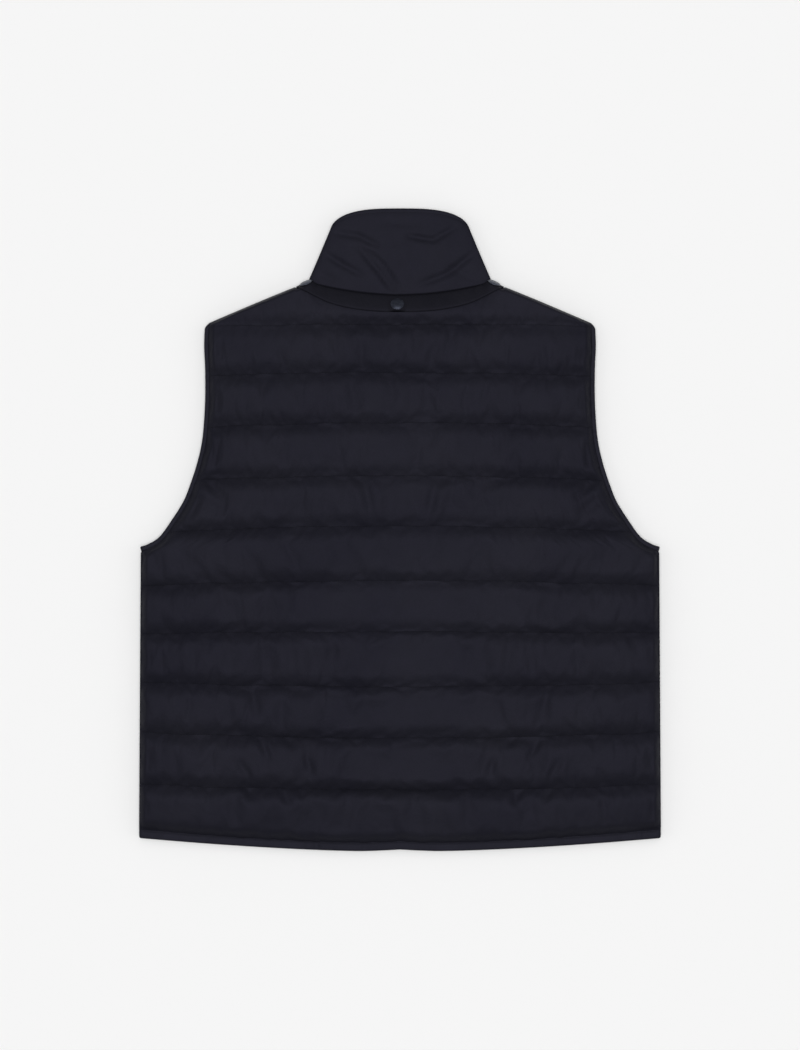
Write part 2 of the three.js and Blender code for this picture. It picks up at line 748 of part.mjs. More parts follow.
function buildSlider() {
  const { bridgeReach, bridgeThick, bridgeLow, outerLow, outerHigh, bridgeHalf } = SLIDER;
  const post = new THREE.Shape();
  post.moveTo(0, SLIDER.postLow);
  post.lineTo(SLIDER.postHalf, (SLIDER.postLow + SLIDER.postHigh) / 2);
  post.lineTo(0, SLIDER.postHigh);
  post.lineTo(-SLIDER.postHalf, (SLIDER.postLow + SLIDER.postHigh) / 2);
  post.closePath();
  const overlap = 0.3;
  const arch = new THREE.Shape();
  arch.moveTo(-bridgeReach, outerLow + overlap);
  arch.lineTo(-bridgeReach, bridgeLow + bridgeThick);
  arch.lineTo(-bridgeReach + bridgeThick, bridgeLow);
  arch.lineTo(bridgeReach - bridgeThick, bridgeLow);
  arch.lineTo(bridgeReach, bridgeLow + bridgeThick);
  arch.lineTo(bridgeReach, outerLow + overlap);
  arch.lineTo(bridgeReach - bridgeThick, outerLow + overlap);
  arch.lineTo(bridgeReach - bridgeThick, bridgeLow + bridgeThick);
  arch.lineTo(-bridgeReach + bridgeThick, bridgeLow + bridgeThick);
  arch.lineTo(-bridgeReach + bridgeThick, outerLow + overlap);
  arch.closePath();
  const bridge = new THREE.ExtrudeGeometry(arch, { depth: 2 * bridgeHalf, bevelEnabled: false })
    .translate(0, 0, -bridgeHalf)
    .rotateX(Math.PI / 2)
    .rotateZ(Math.PI / 2)
    .translate(0, PULL.pivotHeight - LENGTH / 2, 0);
  const joined = [
    plate(sliderOutline(), outerLow, outerHigh),
    plate(sliderOutline(), SLIDER.innerLow, SLIDER.innerHigh),
    plate(post, outerHigh - overlap, SLIDER.innerLow + overlap),
    bridge,
  ]
    .map(manifoldOf)
    .reduce((whole, piece) => whole.add(piece));
  addMesh("zip_slider", geometryOf(joined), gunmetal);
}

function buildPull() {
  const { pivotHeight, pivotZ, thick, half, length, windowHalf, windowLength } = PULL;
  const bar = pivotHeight + thick / 2;
  const foot = bar - length;
  const shape = new THREE.Shape();
  shape.moveTo(-half, bar);
  shape.lineTo(-half, foot + half);
  shape.absarc(0, foot + half, half, Math.PI, 2 * Math.PI, false);
  shape.lineTo(half, bar);
  shape.closePath();
  const window = new THREE.Path();
  window.moveTo(-windowHalf, bar - thick);
  window.lineTo(windowHalf, bar - thick);
  window.lineTo(windowHalf, bar - thick - windowLength);
  window.lineTo(-windowHalf, bar - thick - windowLength);
  window.closePath();
  shape.holes.push(window);
  addMesh("zip_pull", plate(shape, pivotZ - thick / 2, pivotZ + thick / 2), gunmetal);
}

buildBack();
buildFront("front_left", -1);
buildFront("front_right", 1);
buildCollar();
buildStrip();
buildSnaps();
buildArmholeBinding("armhole_binding_left", -1);
buildArmholeBinding("armhole_binding_right", 1);
buildHemBinding();
buildTapes();
buildChain();
buildSlider();
buildPull();

export default vest;
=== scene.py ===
import math

import bpy
import numpy as np
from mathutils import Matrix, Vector


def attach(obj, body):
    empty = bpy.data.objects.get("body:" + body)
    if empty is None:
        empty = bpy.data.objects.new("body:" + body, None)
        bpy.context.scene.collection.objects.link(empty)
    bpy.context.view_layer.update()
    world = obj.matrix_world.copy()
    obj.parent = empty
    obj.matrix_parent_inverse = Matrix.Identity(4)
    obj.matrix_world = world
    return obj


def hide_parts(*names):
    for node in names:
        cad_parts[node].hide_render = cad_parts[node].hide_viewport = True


# Quilted vest lying on its front, seen from straight above. Sizes below are in millimetres,
# heights run from the hem's lowest point up the back, and mm turns them into metres.
mm = 0.001
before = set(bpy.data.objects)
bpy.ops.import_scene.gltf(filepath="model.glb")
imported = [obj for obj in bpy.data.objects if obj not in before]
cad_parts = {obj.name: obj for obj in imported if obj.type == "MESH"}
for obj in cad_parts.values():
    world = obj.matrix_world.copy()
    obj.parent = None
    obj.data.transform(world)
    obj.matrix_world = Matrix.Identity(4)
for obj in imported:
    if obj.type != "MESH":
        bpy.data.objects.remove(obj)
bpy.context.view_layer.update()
bpy.ops.object.select_all(action="DESELECT")

# small helpers

def linearColour(hexColour):
    # sRGB hex to the linear numbers that the shader wants
    channels = [int(hexColour[i:i + 2], 16) / 255 for i in (1, 3, 5)]
    return [c / 12.92 if c <= 0.04045 else ((c + 0.055) / 1.055) ** 2.4 for c in channels] + [1]


def mix(a, b, t):
    return a + (b - a) * t


def smoothStep(t):
    t = np.clip(t, 0, 1)
    return t * t * (3 - 2 * t)


def wander(seed, step, low, high):
    # a smooth random line along x, from -1 to 1, the same on every run
    knots = np.arange(low, high + 2 * step, step)
    values = np.random.default_rng(seed).uniform(-1, 1, len(knots))

    def read(x):
        place = np.clip((np.asarray(x, float) - low) / step, 0, len(knots) - 1.001)
        left = place.astype(int)
        return mix(values[left], values[left + 1], smoothStep(place - left))

    return read


def meshFrom(name, points, faces):
    # points in vest millimetres (x, height, z); turned outward if the volume comes out negative
    points = np.asarray(points, float)
    placed = np.column_stack([points[:, 0], points[:, 1] - vest["length"] / 2, points[:, 2]]) * mm
    mesh = bpy.data.meshes.new(name)
    mesh.from_pydata(placed.tolist(), [], faces)
    mesh.update()
    volume = 0.0
    mesh.calc_loop_triangles()
    corners = np.empty(len(mesh.loop_triangles) * 3, int)
    mesh.loop_triangles.foreach_get("vertices", corners)
    a, b, c = (placed[corners.reshape(-1, 3)[:, k]] for k in range(3))
    volume = float(np.einsum("ij,ij->i", a, np.cross(b, c)).sum())
    if volume < 0:
        mesh.flip_normals()
    piece = bpy.data.objects.new(name, mesh)
    bpy.context.collection.objects.link(piece)
    mesh.polygons.foreach_set("use_smooth", [True] * len(mesh.polygons))
    return piece


def loftFaces(count, around, closed):
    # quads between successive rings of points, with flat ends where the loft is open
    faces = []
    for i in range(count if closed else count - 1):
        here, there = i * around, ((i + 1) % count) * around
        for k in range(around):
            n = (k + 1) % around
            faces.append((here + k, here + n, there + n, there + k))
    if not closed:
        faces.append(tuple(range(around - 1, -1, -1)))
        last = (count - 1) * around
        faces.append(tuple(range(last, last + around)))
    return faces


def loft(name, rings, closed):
    rings = np.asarray(rings, float)
    count, around = rings.shape[:2]
    return meshFrom(name, rings.reshape(-1, 3), loftFaces(count, around, closed))


def only(piece):
    bpy.ops.object.select_all(action="DESELECT")
    piece.select_set(True)
    bpy.context.view_layer.objects.active = piece


def applyModifier(piece, kind, **settings):
    only(piece)
    modifier = piece.modifiers.new(kind.title(), kind)
    for key, value in settings.items():
        setattr(modifier, key, value)
    bpy.ops.object.modifier_apply(modifier=modifier.name)


def smoothByAngle(piece, degrees):
    only(piece)
    bpy.ops.object.shade_smooth_by_angle(angle=math.radians(degrees))


# outline of the vest, from the same sizes as the frame

vest = {
    "length": 739.4,
    "hemHalf": 300.0,
    "underarmHalf": 297.8,
    "underarmHeight": 343.0,
    "hemCornerRise": 15.0,
    "hemLowHalf": 45.0,
    "hemCurve": 1.5,
    "hemNick": 1.8,
    "hemBand": 10.5,
    "neckHalf": 104.5,
    "neckPoint": 653.3,
    "shoulderSlope": 0.4025,
    "shoulderBow": 1.6,  # how far the shoulder seam bows up between the neck and the tip
    "shoulderRun": 113.0,
    "stripEnd": 122.0,
    "stripPress": 1.8,
    "backNeck": 638.8,
    "backNeckCurve": 1.9,
    "frontNeck": 570.2,
    "frontNeckRound": 1.6,
    "frontOpening": 9.0,
    "middle": 10.0,  # plane where back and fronts meet
    "seamGap": 0.3,
    "bindingWidth": 6.0,
    "tuck": 1.6,  # how far the panels' raw edges run in under the bindings
}
armholePoints = [  # half width and height from the underarm to the shoulder tip
    (298.3, 350.1), (289.8, 352.9), (276.2, 361.8), (261.2, 382.5), (248.5, 403.2),
    (240.4, 423.9), (233.7, 444.6), (228.7, 465.3), (226.0, 486.0), (224.1, 519.5),
    (224.1, 552.7), (225.2, 580.0), (224.4, 606.0),
]
quiltLines = [  # height at the centre, shift at the sides, depth at the centre and at the sides
    (71.4, 6.0, 7.5, 5.3), (130.4, 6.9, 6.4, 5.3), (189.4, 5.3, 5.2, 5.3), (252.5, -2.0, 4.6, 5.3),
    (310.9, -5.7, 4.2, 5.4), (373.5, -9.0, 4.5, 5.3), (431.1, -7.5, 3.4, 5.2), (492.0, -9.0, 3.8, 4.8),
    (549.9, -8.0, 4.8, 4.4), (604.7, -4.0, 5.2, 2.4),
]


def hemHeight(x):
    side = np.maximum(0, (np.abs(x) - vest["hemLowHalf"]) / (vest["hemHalf"] - vest["hemLowHalf"]))
    nick = np.maximum(0, 1 - np.abs(x) / vest["hemLowHalf"])
    return vest["hemCornerRise"] * side ** vest["hemCurve"] + vest["hemNick"] * nick ** vest["hemCurve"]


def hemSeam(x):
    return hemHeight(x) + vest["hemBand"] - vest["tuck"]


def shoulderHeight(x):
    past = np.abs(x) - vest["neckHalf"]
    bow = np.sin(np.pi * np.sqrt(np.clip(past / vest["shoulderRun"], 0, 1)))
    bowed = vest["neckPoint"] - vest["shoulderSlope"] * past + vest["shoulderBow"] * np.maximum(bow, 0) ** 0.7
    # the strip's ends press the shoulder seam in by about their own thickness
    pressed = smoothStep(past / 2.5) * smoothStep((vest["stripEnd"] - np.abs(x)) / 5)
    return bowed - vest["stripPress"] * pressed


def backNeckHeight(x):
    across = np.abs(x) / vest["neckHalf"]
    return vest["backNeck"] + (vest["neckPoint"] - vest["backNeck"]) * across ** vest["backNeckCurve"]


def backTopHeight(x):
    return np.where(np.abs(x) < vest["neckHalf"], backNeckHeight(x), shoulderHeight(x))


def frontNeckHeight(x, half=None, drop=None):
    half = half or vest["neckHalf"]
    drop = drop or vest["neckPoint"] - vest["frontNeck"]
    across = np.minimum(1, np.abs(x) / half)
    power = vest["frontNeckRound"]
    return vest["neckPoint"] - drop * (1 - across ** power) ** (1 / power)


def curveThrough(points, perSpan):
    # a smooth curve through a few points, and the distance along it
    p = np.array([points[0], *points, points[-1]], float)
    p[0] = 2 * p[1] - p[2]
    p[-1] = 2 * p[-2] - p[-3]
    t = np.linspace(0, 1, perSpan, endpoint=False)[:, None]
    spans = [
        0.5 * (2 * b + (c - a) * t + (2 * a - 5 * b + 4 * c - d) * t**2 + (3 * b - a - 3 * c + d) * t**3)
        for a, b, c, d in zip(p, p[1:], p[2:], p[3:])
    ]
    line = np.vstack([*spans, p[-2]])
    along = np.concatenate([[0], np.cumsum(np.hypot(*np.diff(line, axis=0).T))])
    return line, along


armholeLine, armholeAlong = curveThrough(armholePoints, 24)
armholeLength = armholeAlong[-1]


def besideArmhole(along, inwards):
    # half width and height of a point beside the armhole edge; past its ends it runs on straight
    along, inwards = np.broadcast_arrays(np.asarray(along, float), np.asarray(inwards, float))
    inside = np.clip(along, 0, armholeLength)
    step = 2.0
    at = [np.interp(inside, armholeAlong, armholeLine[:, k]) for k in range(2)]
    low, high = np.clip(inside - step, 0, None), np.clip(inside + step, None, armholeLength)
    run = [
        np.interp(high, armholeAlong, armholeLine[:, k]) - np.interp(low, armholeAlong, armholeLine[:, k])
        for k in range(2)
    ]
    size = np.hypot(*run)
    tx, ty = run[0] / size, run[1] / size
    past = along - inside
    return at[0] + tx * past - ty * inwards, at[1] + ty * past + tx * inwards


seamAt = besideArmhole(np.linspace(0, armholeLength, 120), vest["bindingWidth"] - vest["tuck"])
keep = (seamAt[0] < vest["underarmHalf"]) & (seamAt[1] > vest["underarmHeight"])
seamHalfs = np.concatenate([[vest["hemHalf"], vest["underarmHalf"]], seamAt[0][keep]])
seamHeights = np.concatenate([[0, vest["underarmHeight"]], seamAt[1][keep]])
seamHeights = np.maximum.accumulate(seamHeights)


def seamHalf(height):
    return np.interp(height, seamHeights, seamHalfs)


def distanceTo(halfs, heights, x, h):
    nearest = np.full(np.shape(x), 1e9)
    for a, b, c, d in zip(halfs, heights, halfs[1:], heights[1:]):
        length = (c - a) ** 2 + (d - b) ** 2
        if length < 1e-9:
            continue
        part = np.clip(((np.abs(x) - a) * (c - a) + (h - b) * (d - b)) / length, 0, 1)
        gap = np.hypot(np.abs(x) - a - (c - a) * part, h - b - (d - b) * part)
        nearest = np.minimum(nearest, gap)
    return nearest


def sideDistance(x, h):
    return distanceTo(seamHalfs[::2], seamHeights[::2], x, h)


def rollOff(distance, reach):
    return np.sin(np.pi / 2 * np.clip(distance / reach, 0, 1))


def roundOff(distance, reach):
    return np.sqrt(1 - np.clip(1 - distance / reach, 0, 1) ** 2)


print("outline ready")


# strip across the back of the neck, which carries the three snaps

strip = {
    "lowEdge": 618.8,
    "lowRise": 28.6,
    "lowHalf": 119.0,
    "lowPower": 2.6,
    "thickness": 1.4,
    "lift": 0.6,
    "foldLift": 0.5,
    "leaves": 84.0,
    "foldReach": 0.5,
    "foldHeight": 6.9,
    "foldEnd": 140,
    "rows": 14,
}
snap = {
    "radius": 7.75, "centreX": -3.1, "centreHeight": 627.6, "alongFold": 0.82, "tilt": 21,
    "lean": 1.7,  # how much the centre cap leans to the collar, as a share of the cloth's slope
}


def stripLow(x):
    return strip["lowEdge"] + strip["lowRise"] * (np.abs(x) / strip["lowHalf"]) ** strip["lowPower"]


# camera straight above, as the photo looks down on the laid out vest

camera = {"height": 3.2, "mmPerPixel": 1.15, "frameHigh": 1050, "lookX": 0.0, "lookHeight": 374.9}


def addCamera():
    span = camera["mmPerPixel"] * camera["frameHigh"] * mm
    data = bpy.data.cameras.new("camera")
    data.sensor_fit = "VERTICAL"
    data.sensor_height = 36
    data.lens = data.sensor_height * (camera["height"] - vest["middle"] * mm) / span
    data.clip_end = 20
    eye = bpy.data.objects.new("camera", data)
    eye.location = (camera["lookX"] * mm, (camera["lookHeight"] - vest["length"] / 2) * mm, camera["height"])
    bpy.context.collection.objects.link(eye)
    bpy.context.scene.camera = eye


addCamera()

# quilted surfaces

quilting = {
    "backTop": 25.0,
    "edge": 11.3,  # height of the raw edges under the bindings
    "sideEdge": 12.6,
    "neckEdge": 16.0,
    "shoulderEdge": 12.5,
    "grooveReach": 17.0,
    "hemReach": 13.0,
    "neckReach": 30.0,
    "shoulderReach": 4.8,
    "sideReach": 8.5,
    "sideTaper": 3.0,  # how much thinner the filling is at the side edges, and over what width
    "sideTaperReach": 60.0,
    "hemTaper": 3.0,
    "hemTaperReach": 45.0,
    "lineWander": 0.8,
    "puffWander": 0.8,
    "rowsPerChannel": 20,
    "yokeRows": 18,
    "backColumns": 420,
    "rowGather": 0.4,  # how much closer rows lie beside a stitch line
    "edgeGather": 0.35,
}
lineWanders = [wander(40 + i, 34, -320, 320) for i in range(len(quiltLines))]
puffWanders = [wander(80 + i, 46, -320, 320) for i in range(len(quiltLines) + 1)]


def quiltHeight(i, x):
    height, shift = quiltLines[i][:2]
    return height + shift * (x / vest["hemHalf"]) ** 2 + quilting["lineWander"] * lineWanders[i](x)


def levelHeight(i, x, top):
    # 0 is the hem seam, then the quilt lines, then the top edge
    if i == 0:
        return hemSeam(x)
    if i <= len(quiltLines):
        return quiltHeight(i - 1, x)
    return top(x)


def grooveDepth(depth, distance, reach):
    return depth * np.maximum(0, 1 - np.abs(distance) / reach) ** 2


# gathers that run out from the stitch lines: spacing, depth and reach of the fine and the wide ones
puckers = [
    {"seed": 500, "spacing": 5.2, "depth": 0.62, "reach": 8.0, "sharp": 2.4, "lean": 0.25},
    {"seed": 700, "spacing": 10.5, "depth": 0.85, "reach": 15.0, "sharp": 2.0, "lean": 0.35},
    {"seed": 900, "spacing": 19.0, "depth": 0.5, "reach": 30.0, "sharp": 1.6, "lean": 0.2},
]
stitchedFlat = 2.9


def addPuckers(x, h, seed):
    # ridged noise along x, strongest just off each stitched line and nothing on the line itself
    dent = np.zeros_like(x)
    zone = 0.6 + 0.4 * np.exp(-(((np.abs(x) - 150) / 110) ** 2))
    for i, (height, shift, centre, side) in enumerate(quiltLines):
        rows = np.nonzero(np.abs((h - height).mean(axis=1)) < 50)[0]
        away = h[rows] - quiltHeight(i, x[rows])
        for sign in (-1, 1):
            out = np.maximum(away * sign, 0)
            rise = 1 - np.exp(-((out / stitchedFlat) ** 2))
            for layer in puckers:
                start = seed + layer["seed"] + 11 * i + 5 * (sign > 0)
                noise = wander(start, layer["spacing"], -340, 340)
                strength = wander(start + 1, 37, -340, 340)
                lean = wander(start + 2, 25, -340, 340)
                place = x[rows] + layer["lean"] * out * lean(x[rows])
                ridge = (1 - np.abs(noise(place))) ** layer["sharp"]
                size = layer["depth"] * zone[rows] * (0.6 + 0.4 * strength(x[rows]))
                size = size * 0.5 * (1 + centreShare(i, x[rows]))
                dent[rows] += size * ridge * rise * np.exp(-((out / layer["reach"]) ** 1.6))
    return dent


# longer soft creases seen on the back: from, to (x and height), depth and half width
backCreases = [
    ((-54.6, 432.5), (-39.7, 419.8), 2.0, 6.0),
    ((-39.7, 419.8), (-32.8, 385.3), 2.1, 6.5),
    ((54.0, 434.0), (40.5, 420.0), 1.7, 6.0),
    ((40.5, 420.0), (33.5, 388.0), 2.0, 6.5),
    ((-220.2, 423.9), (-203.0, 405.5), 2.4, 6.0),
    ((221.0, 424.5), (204.0, 407.0), 2.1, 6.0),
    ((-236.0, 405.0), (-206.0, 392.0), 1.8, 7.0),
    ((234.0, 407.0), (207.0, 391.0), 2.0, 7.0),
    ((-185.7, 104.2), (-173.1, 88.1), 2.1, 5.0),
    ((184.0, 105.5), (172.0, 87.0), 2.0, 5.0),
    ((-107.5, 108.8), (-100.6, 91.5), 2.0, 5.0),
    ((108.5, 107.5), (101.5, 90.5), 1.8, 5.0),
    ((-159.3, 127.2), (-150.1, 108.8), 1.7, 4.5),
    ((158.0, 126.5), (149.0, 110.0), 1.8, 4.5),
    ((-134.0, 131.8), (-120.2, 121.4), 1.5, 4.5),
    ((133.0, 131.0), (121.0, 122.5), 1.5, 4.5),
    ((-177.7, 73.1), (-162.7, 60.5), 1.8, 5.0),
    ((176.0, 72.0), (164.0, 59.5), 1.7, 5.0),
    ((-136.3, 67.4), (-125.9, 54.7), 1.7, 5.0),
    ((137.0, 66.5), (127.0, 55.5), 1.8, 5.0),
    ((-125.9, 243.3), (-121.3, 201.9), 1.2, 7.0),
    ((126.5, 241.0), (120.0, 203.5), 1.2, 7.0),
    ((-77.6, 235.3), (-77.0, 218.0), 1.2, 6.0),
    ((78.5, 236.0), (76.5, 216.0), 1.0, 6.0),
    ((-171.9, 189.3), (-161.6, 155.9), 1.4, 6.5),
    ((170.5, 187.5), (162.0, 158.0), 1.4, 6.5),
]


def addCreases(x, h, creases):
    # lowers the surface along each crease, most at the crease's middle
    dent = np.zeros_like(x)
    for (x0, h0), (x1, h1), depth, width in creases:
        run, rise = x1 - x0, h1 - h0
        part = np.clip(((x - x0) * run + (h - h0) * rise) / (run**2 + rise**2), 0, 1)
        away = np.hypot(x - x0 - run * part, h - h0 - rise * part)
        middle = 0.45 + 0.55 * np.sin(np.pi * part)
        dent += depth * middle * np.exp(-((away / width) ** 2))
    return dent


def channelRows(top, start, columns, rowsPerChannel, yokeRows):
    # grid of points that follows the quilt lines: x, height, channel number and place in it
    grid = []
    count = len(quiltLines) + 1
    for i in range(count):
        rows = yokeRows if i == count - 1 else rowsPerChannel
        steps = np.arange(rows + (i == count - 1)) / rows
        parts = steps - quilting["rowGather"] * np.sin(2 * np.pi * steps) / (2 * np.pi)
        for t in parts:
            def heightAt(x, i=i, t=t):
                return mix(levelHeight(i, x, top), levelHeight(i + 1, x, top), t)

            end = vest["hemHalf"]
            for _ in range(25):
                end = float(seamHalf(heightAt(np.array(end))))
            begin = start(heightAt, end)
            x = mix(begin, end, columns)
            grid.append((x, heightAt(x), np.full_like(x, i), np.full_like(x, t)))
    return [np.array(part) for part in zip(*grid)]


def centreShare(i, x):
    # depth of quilt line i at x, as a share of its depth at the sides
    centre, side = quiltLines[i][2:]
    return mix(centre, side, smoothStep(np.abs(x) / 210)) / side


def backSurface(x, h):
    z = np.full(np.shape(x), quilting["backTop"])
    for i, (_, _, _, side) in enumerate(quiltLines):
        z = z - grooveDepth(side * centreShare(i, x), h - quiltHeight(i, x), quilting["grooveReach"])
    below = backTopHeight(x) - h
    shoulder = smoothStep((np.abs(x) - 94) / 22)
    z = z - grooveDepth(quilting["backTop"] - quilting["neckEdge"], below, quilting["neckReach"]) * (1 - shoulder)
    rounded = mix(quilting["shoulderEdge"], z, rollOff(below, quilting["shoulderReach"]))
    z = mix(z, rounded, shoulder)
    above = h - hemSeam(x)
    z = z - quilting["hemTaper"] * (1 - smoothStep(above / quilting["hemTaperReach"]))
    return mix(quilting["edge"], z, rollOff(above, quilting["hemReach"]))


def finishBack(x, h, z):
    inwards = sideDistance(x, h)
    z = z - quilting["sideTaper"] * (1 - smoothStep(inwards / quilting["sideTaperReach"]))
    z = np.maximum(z, quilting["edge"])
    edge = np.minimum(z, quilting["sideEdge"])
    return mix(edge, z, rollOff(inwards, quilting["sideReach"]))


# the channels blown up a little, with more cloth than the stitch lines hold, so that it gathers
puffing = {
    "columnStep": 2,  # every second column of the finished surface
    "frames": 20,
    "excess": 0.04,
    "pressure": 1.0,
    "bending": 0.5,
    "roughStart": 0.15,
    "cap": 3.2,
    "share": 0.42,  # how much of the simulated movement the finished cloth keeps
    "centreShare": 0.3,
    "centreHeights": (220, 520),
}


def puffUp(x, h, z, pinned, face):
    # returns how far each point moves; face is 1 where the cloth bulges up and -1 where it bulges down
    step = puffing["columnStep"]
    cx, ch, cz, held = (grid[:, ::step] for grid in (x, h, z, pinned))
    rows, columns = cx.shape
    rough = np.random.default_rng(3).uniform(-1, 1, cx.shape) * puffing["roughStart"] * ~held
    start = np.stack([cx, ch, cz + rough], axis=2) * mm
    index = np.arange(rows * columns).reshape(rows, columns)
    corners = (index[:-1, :-1], index[:-1, 1:], index[1:, 1:], index[1:, :-1])
    quads = np.column_stack([corner.ravel() for corner in corners])
    mesh = bpy.data.meshes.new("puffing")
    mesh.from_pydata(start.reshape(-1, 3).tolist(), [], quads[:, ::face].tolist())
    sheet = bpy.data.objects.new("puffing", mesh)
    bpy.context.collection.objects.link(sheet)
    sheet.vertex_groups.new(name="stitched").add(index[held].tolist(), 1.0, "REPLACE")
    modifier = sheet.modifiers.new("Cloth", "CLOTH")
    settings = modifier.settings
    settings.vertex_group_mass = "stitched"
    settings.shrink_min = -puffing["excess"]
    settings.bending_stiffness = puffing["bending"]
    settings.effector_weights.gravity = 0
    settings.use_pressure = True
    settings.uniform_pressure_force = puffing["pressure"]
    modifier.collision_settings.use_collision = False
    modifier.point_cache.frame_end = puffing["frames"]
    for frameNumber in range(1, puffing["frames"] + 1):
        bpy.context.scene.frame_set(frameNumber)
    only(sheet)
    bpy.ops.object.modifier_apply(modifier="Cloth")
    settled = np.empty(rows * columns * 3)
    sheet.data.vertices.foreach_get("co", settled)
    move = (settled.reshape(rows, columns, 3) - start) / mm
    bpy.data.objects.remove(sheet)
    bpy.context.scene.frame_set(1)
    size = np.linalg.norm(move, axis=2, keepdims=True)
    move *= np.minimum(1, puffing["cap"] / np.maximum(size, 1e-6))
    fine = np.arange(x.shape[1]) / step
    coarse = np.arange(columns)
    spread = np.stack([[np.interp(fine, coarse, row[:, k]) for row in move] for k in range(3)], axis=2)
    spread[:, 1:-1] = 0.5 * spread[:, 1:-1] + 0.25 * (spread[:, 2:] + spread[:, :-2])
    low, high = puffing["centreHeights"]
    quiet = smoothStep((h - low) / 60) * smoothStep((high - h) / 60) * (1 - smoothStep(np.abs(x) / 200))
    share = mix(puffing["share"], puffing["centreShare"], quiet)
    yoke = smoothStep((h - 570) / 30) * smoothStep((np.abs(x) - 90) / 60)
    share = share * (1 - 0.6 * yoke)
    return spread * share[:, :, None]


def insideSeams(x, h, z):
    # puffed cloth doesn't swell out past the side seams and the armholes
    return np.sign(x) * np.minimum(np.abs(x), seamHalf(h)), h, z


def heldPoints(x, h, channelRows):
    # stitched rows and outer edges
    held = np.zeros(x.shape, bool)
    held[::channelRows] = True
    held[[0, -1]] = True
    held[:, [0, -1]] = True
    return held


def panelMesh(name, x, h, z, inside, channelRows):
    # the quilted outside over a plain flat inside, closed by a rim; the stitched rows stay creased
    rows, columns = x.shape
    outer = np.arange(rows * columns).reshape(rows, columns)
    rim = [(0, c) for c in range(columns)] + [(r, columns - 1) for r in range(1, rows)]
    rim += [(rows - 1, c) for c in range(columns - 2, -1, -1)] + [(r, 0) for r in range(rows - 2, 0, -1)]
    base = {place: rows * columns + k for k, place in enumerate(rim)}
    points = np.column_stack([x.ravel(), h.ravel(), z.ravel()])
    under = [(x[place], h[place], inside) for place in rim]
    a, b = outer[:-1, :-1].ravel(), outer[:-1, 1:].ravel()
    c, d = outer[1:, 1:].ravel(), outer[1:, :-1].ravel()
    faces = np.column_stack([a, b, c, d]).tolist()
    for k, place in enumerate(rim):
        following = rim[(k + 1) % len(rim)]
        faces.append((base[place], base[following], int(outer[following]), int(outer[place])))
    faces.append(tuple(base[place] for place in reversed(rim)))
    piece = meshFrom(name, np.vstack([points, under]), faces)
    ends = np.empty(len(piece.data.edges) * 2, int)
    piece.data.edges.foreach_get("vertices", ends)
    first, second = ends.reshape(-1, 2).T
    onPanel = (first < rows * columns) & (second < rows * columns)
    sameRow = first // columns == second // columns
    stitched = onPanel & sameRow & (first // columns % channelRows == 0)
    piece.data.edges.foreach_set("use_edge_sharp", stitched)
    return piece


def buildBack():
    s = np.linspace(-1, 1, quilting["backColumns"] + 1)
    columns = s + quilting["edgeGather"] * np.sin(np.pi * s) / np.pi
    half = (columns + 1) / 2
    x, h, channel, part = channelRows(
        backTopHeight, lambda heightAt, end: -end, half, quilting["rowsPerChannel"], quilting["yokeRows"]
    )
    z = backSurface(x, h)
    swell = np.zeros_like(x)
    for i in range(len(quiltLines) + 1):
        rows = channel[:, 0] == i
        swell[rows] = puffWanders[i](x[rows]) * np.sin(np.pi * part[rows]) ** 2
    z += quilting["puffWander"] * swell
    z -= addPuckers(x, h, 5)
    z -= addCreases(x, h, backCreases)
    z = finishBack(x, h, z)
    held = heldPoints(x, h, quilting["rowsPerChannel"]) | (h > stripLow(x) - 4) & (np.abs(x) < 125)
    move = puffUp(x, h, z, held, 1)
    x, h, z = insideSeams(x + move[:, :, 0], h + move[:, :, 1], np.maximum(z + move[:, :, 2], quilting["edge"]))
    piece = panelMesh("back_shell", x, h, z, vest["middle"] + vest["seamGap"] / 2, quilting["rowsPerChannel"])
    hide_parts("back_panel")
    return piece, (x, h, z)


backShell, backGrid = buildBack()
quiltGrids = [(*backGrid, quilting["rowsPerChannel"], 0.0)]
print("back quilted:", len(backShell.data.polygons), "faces")


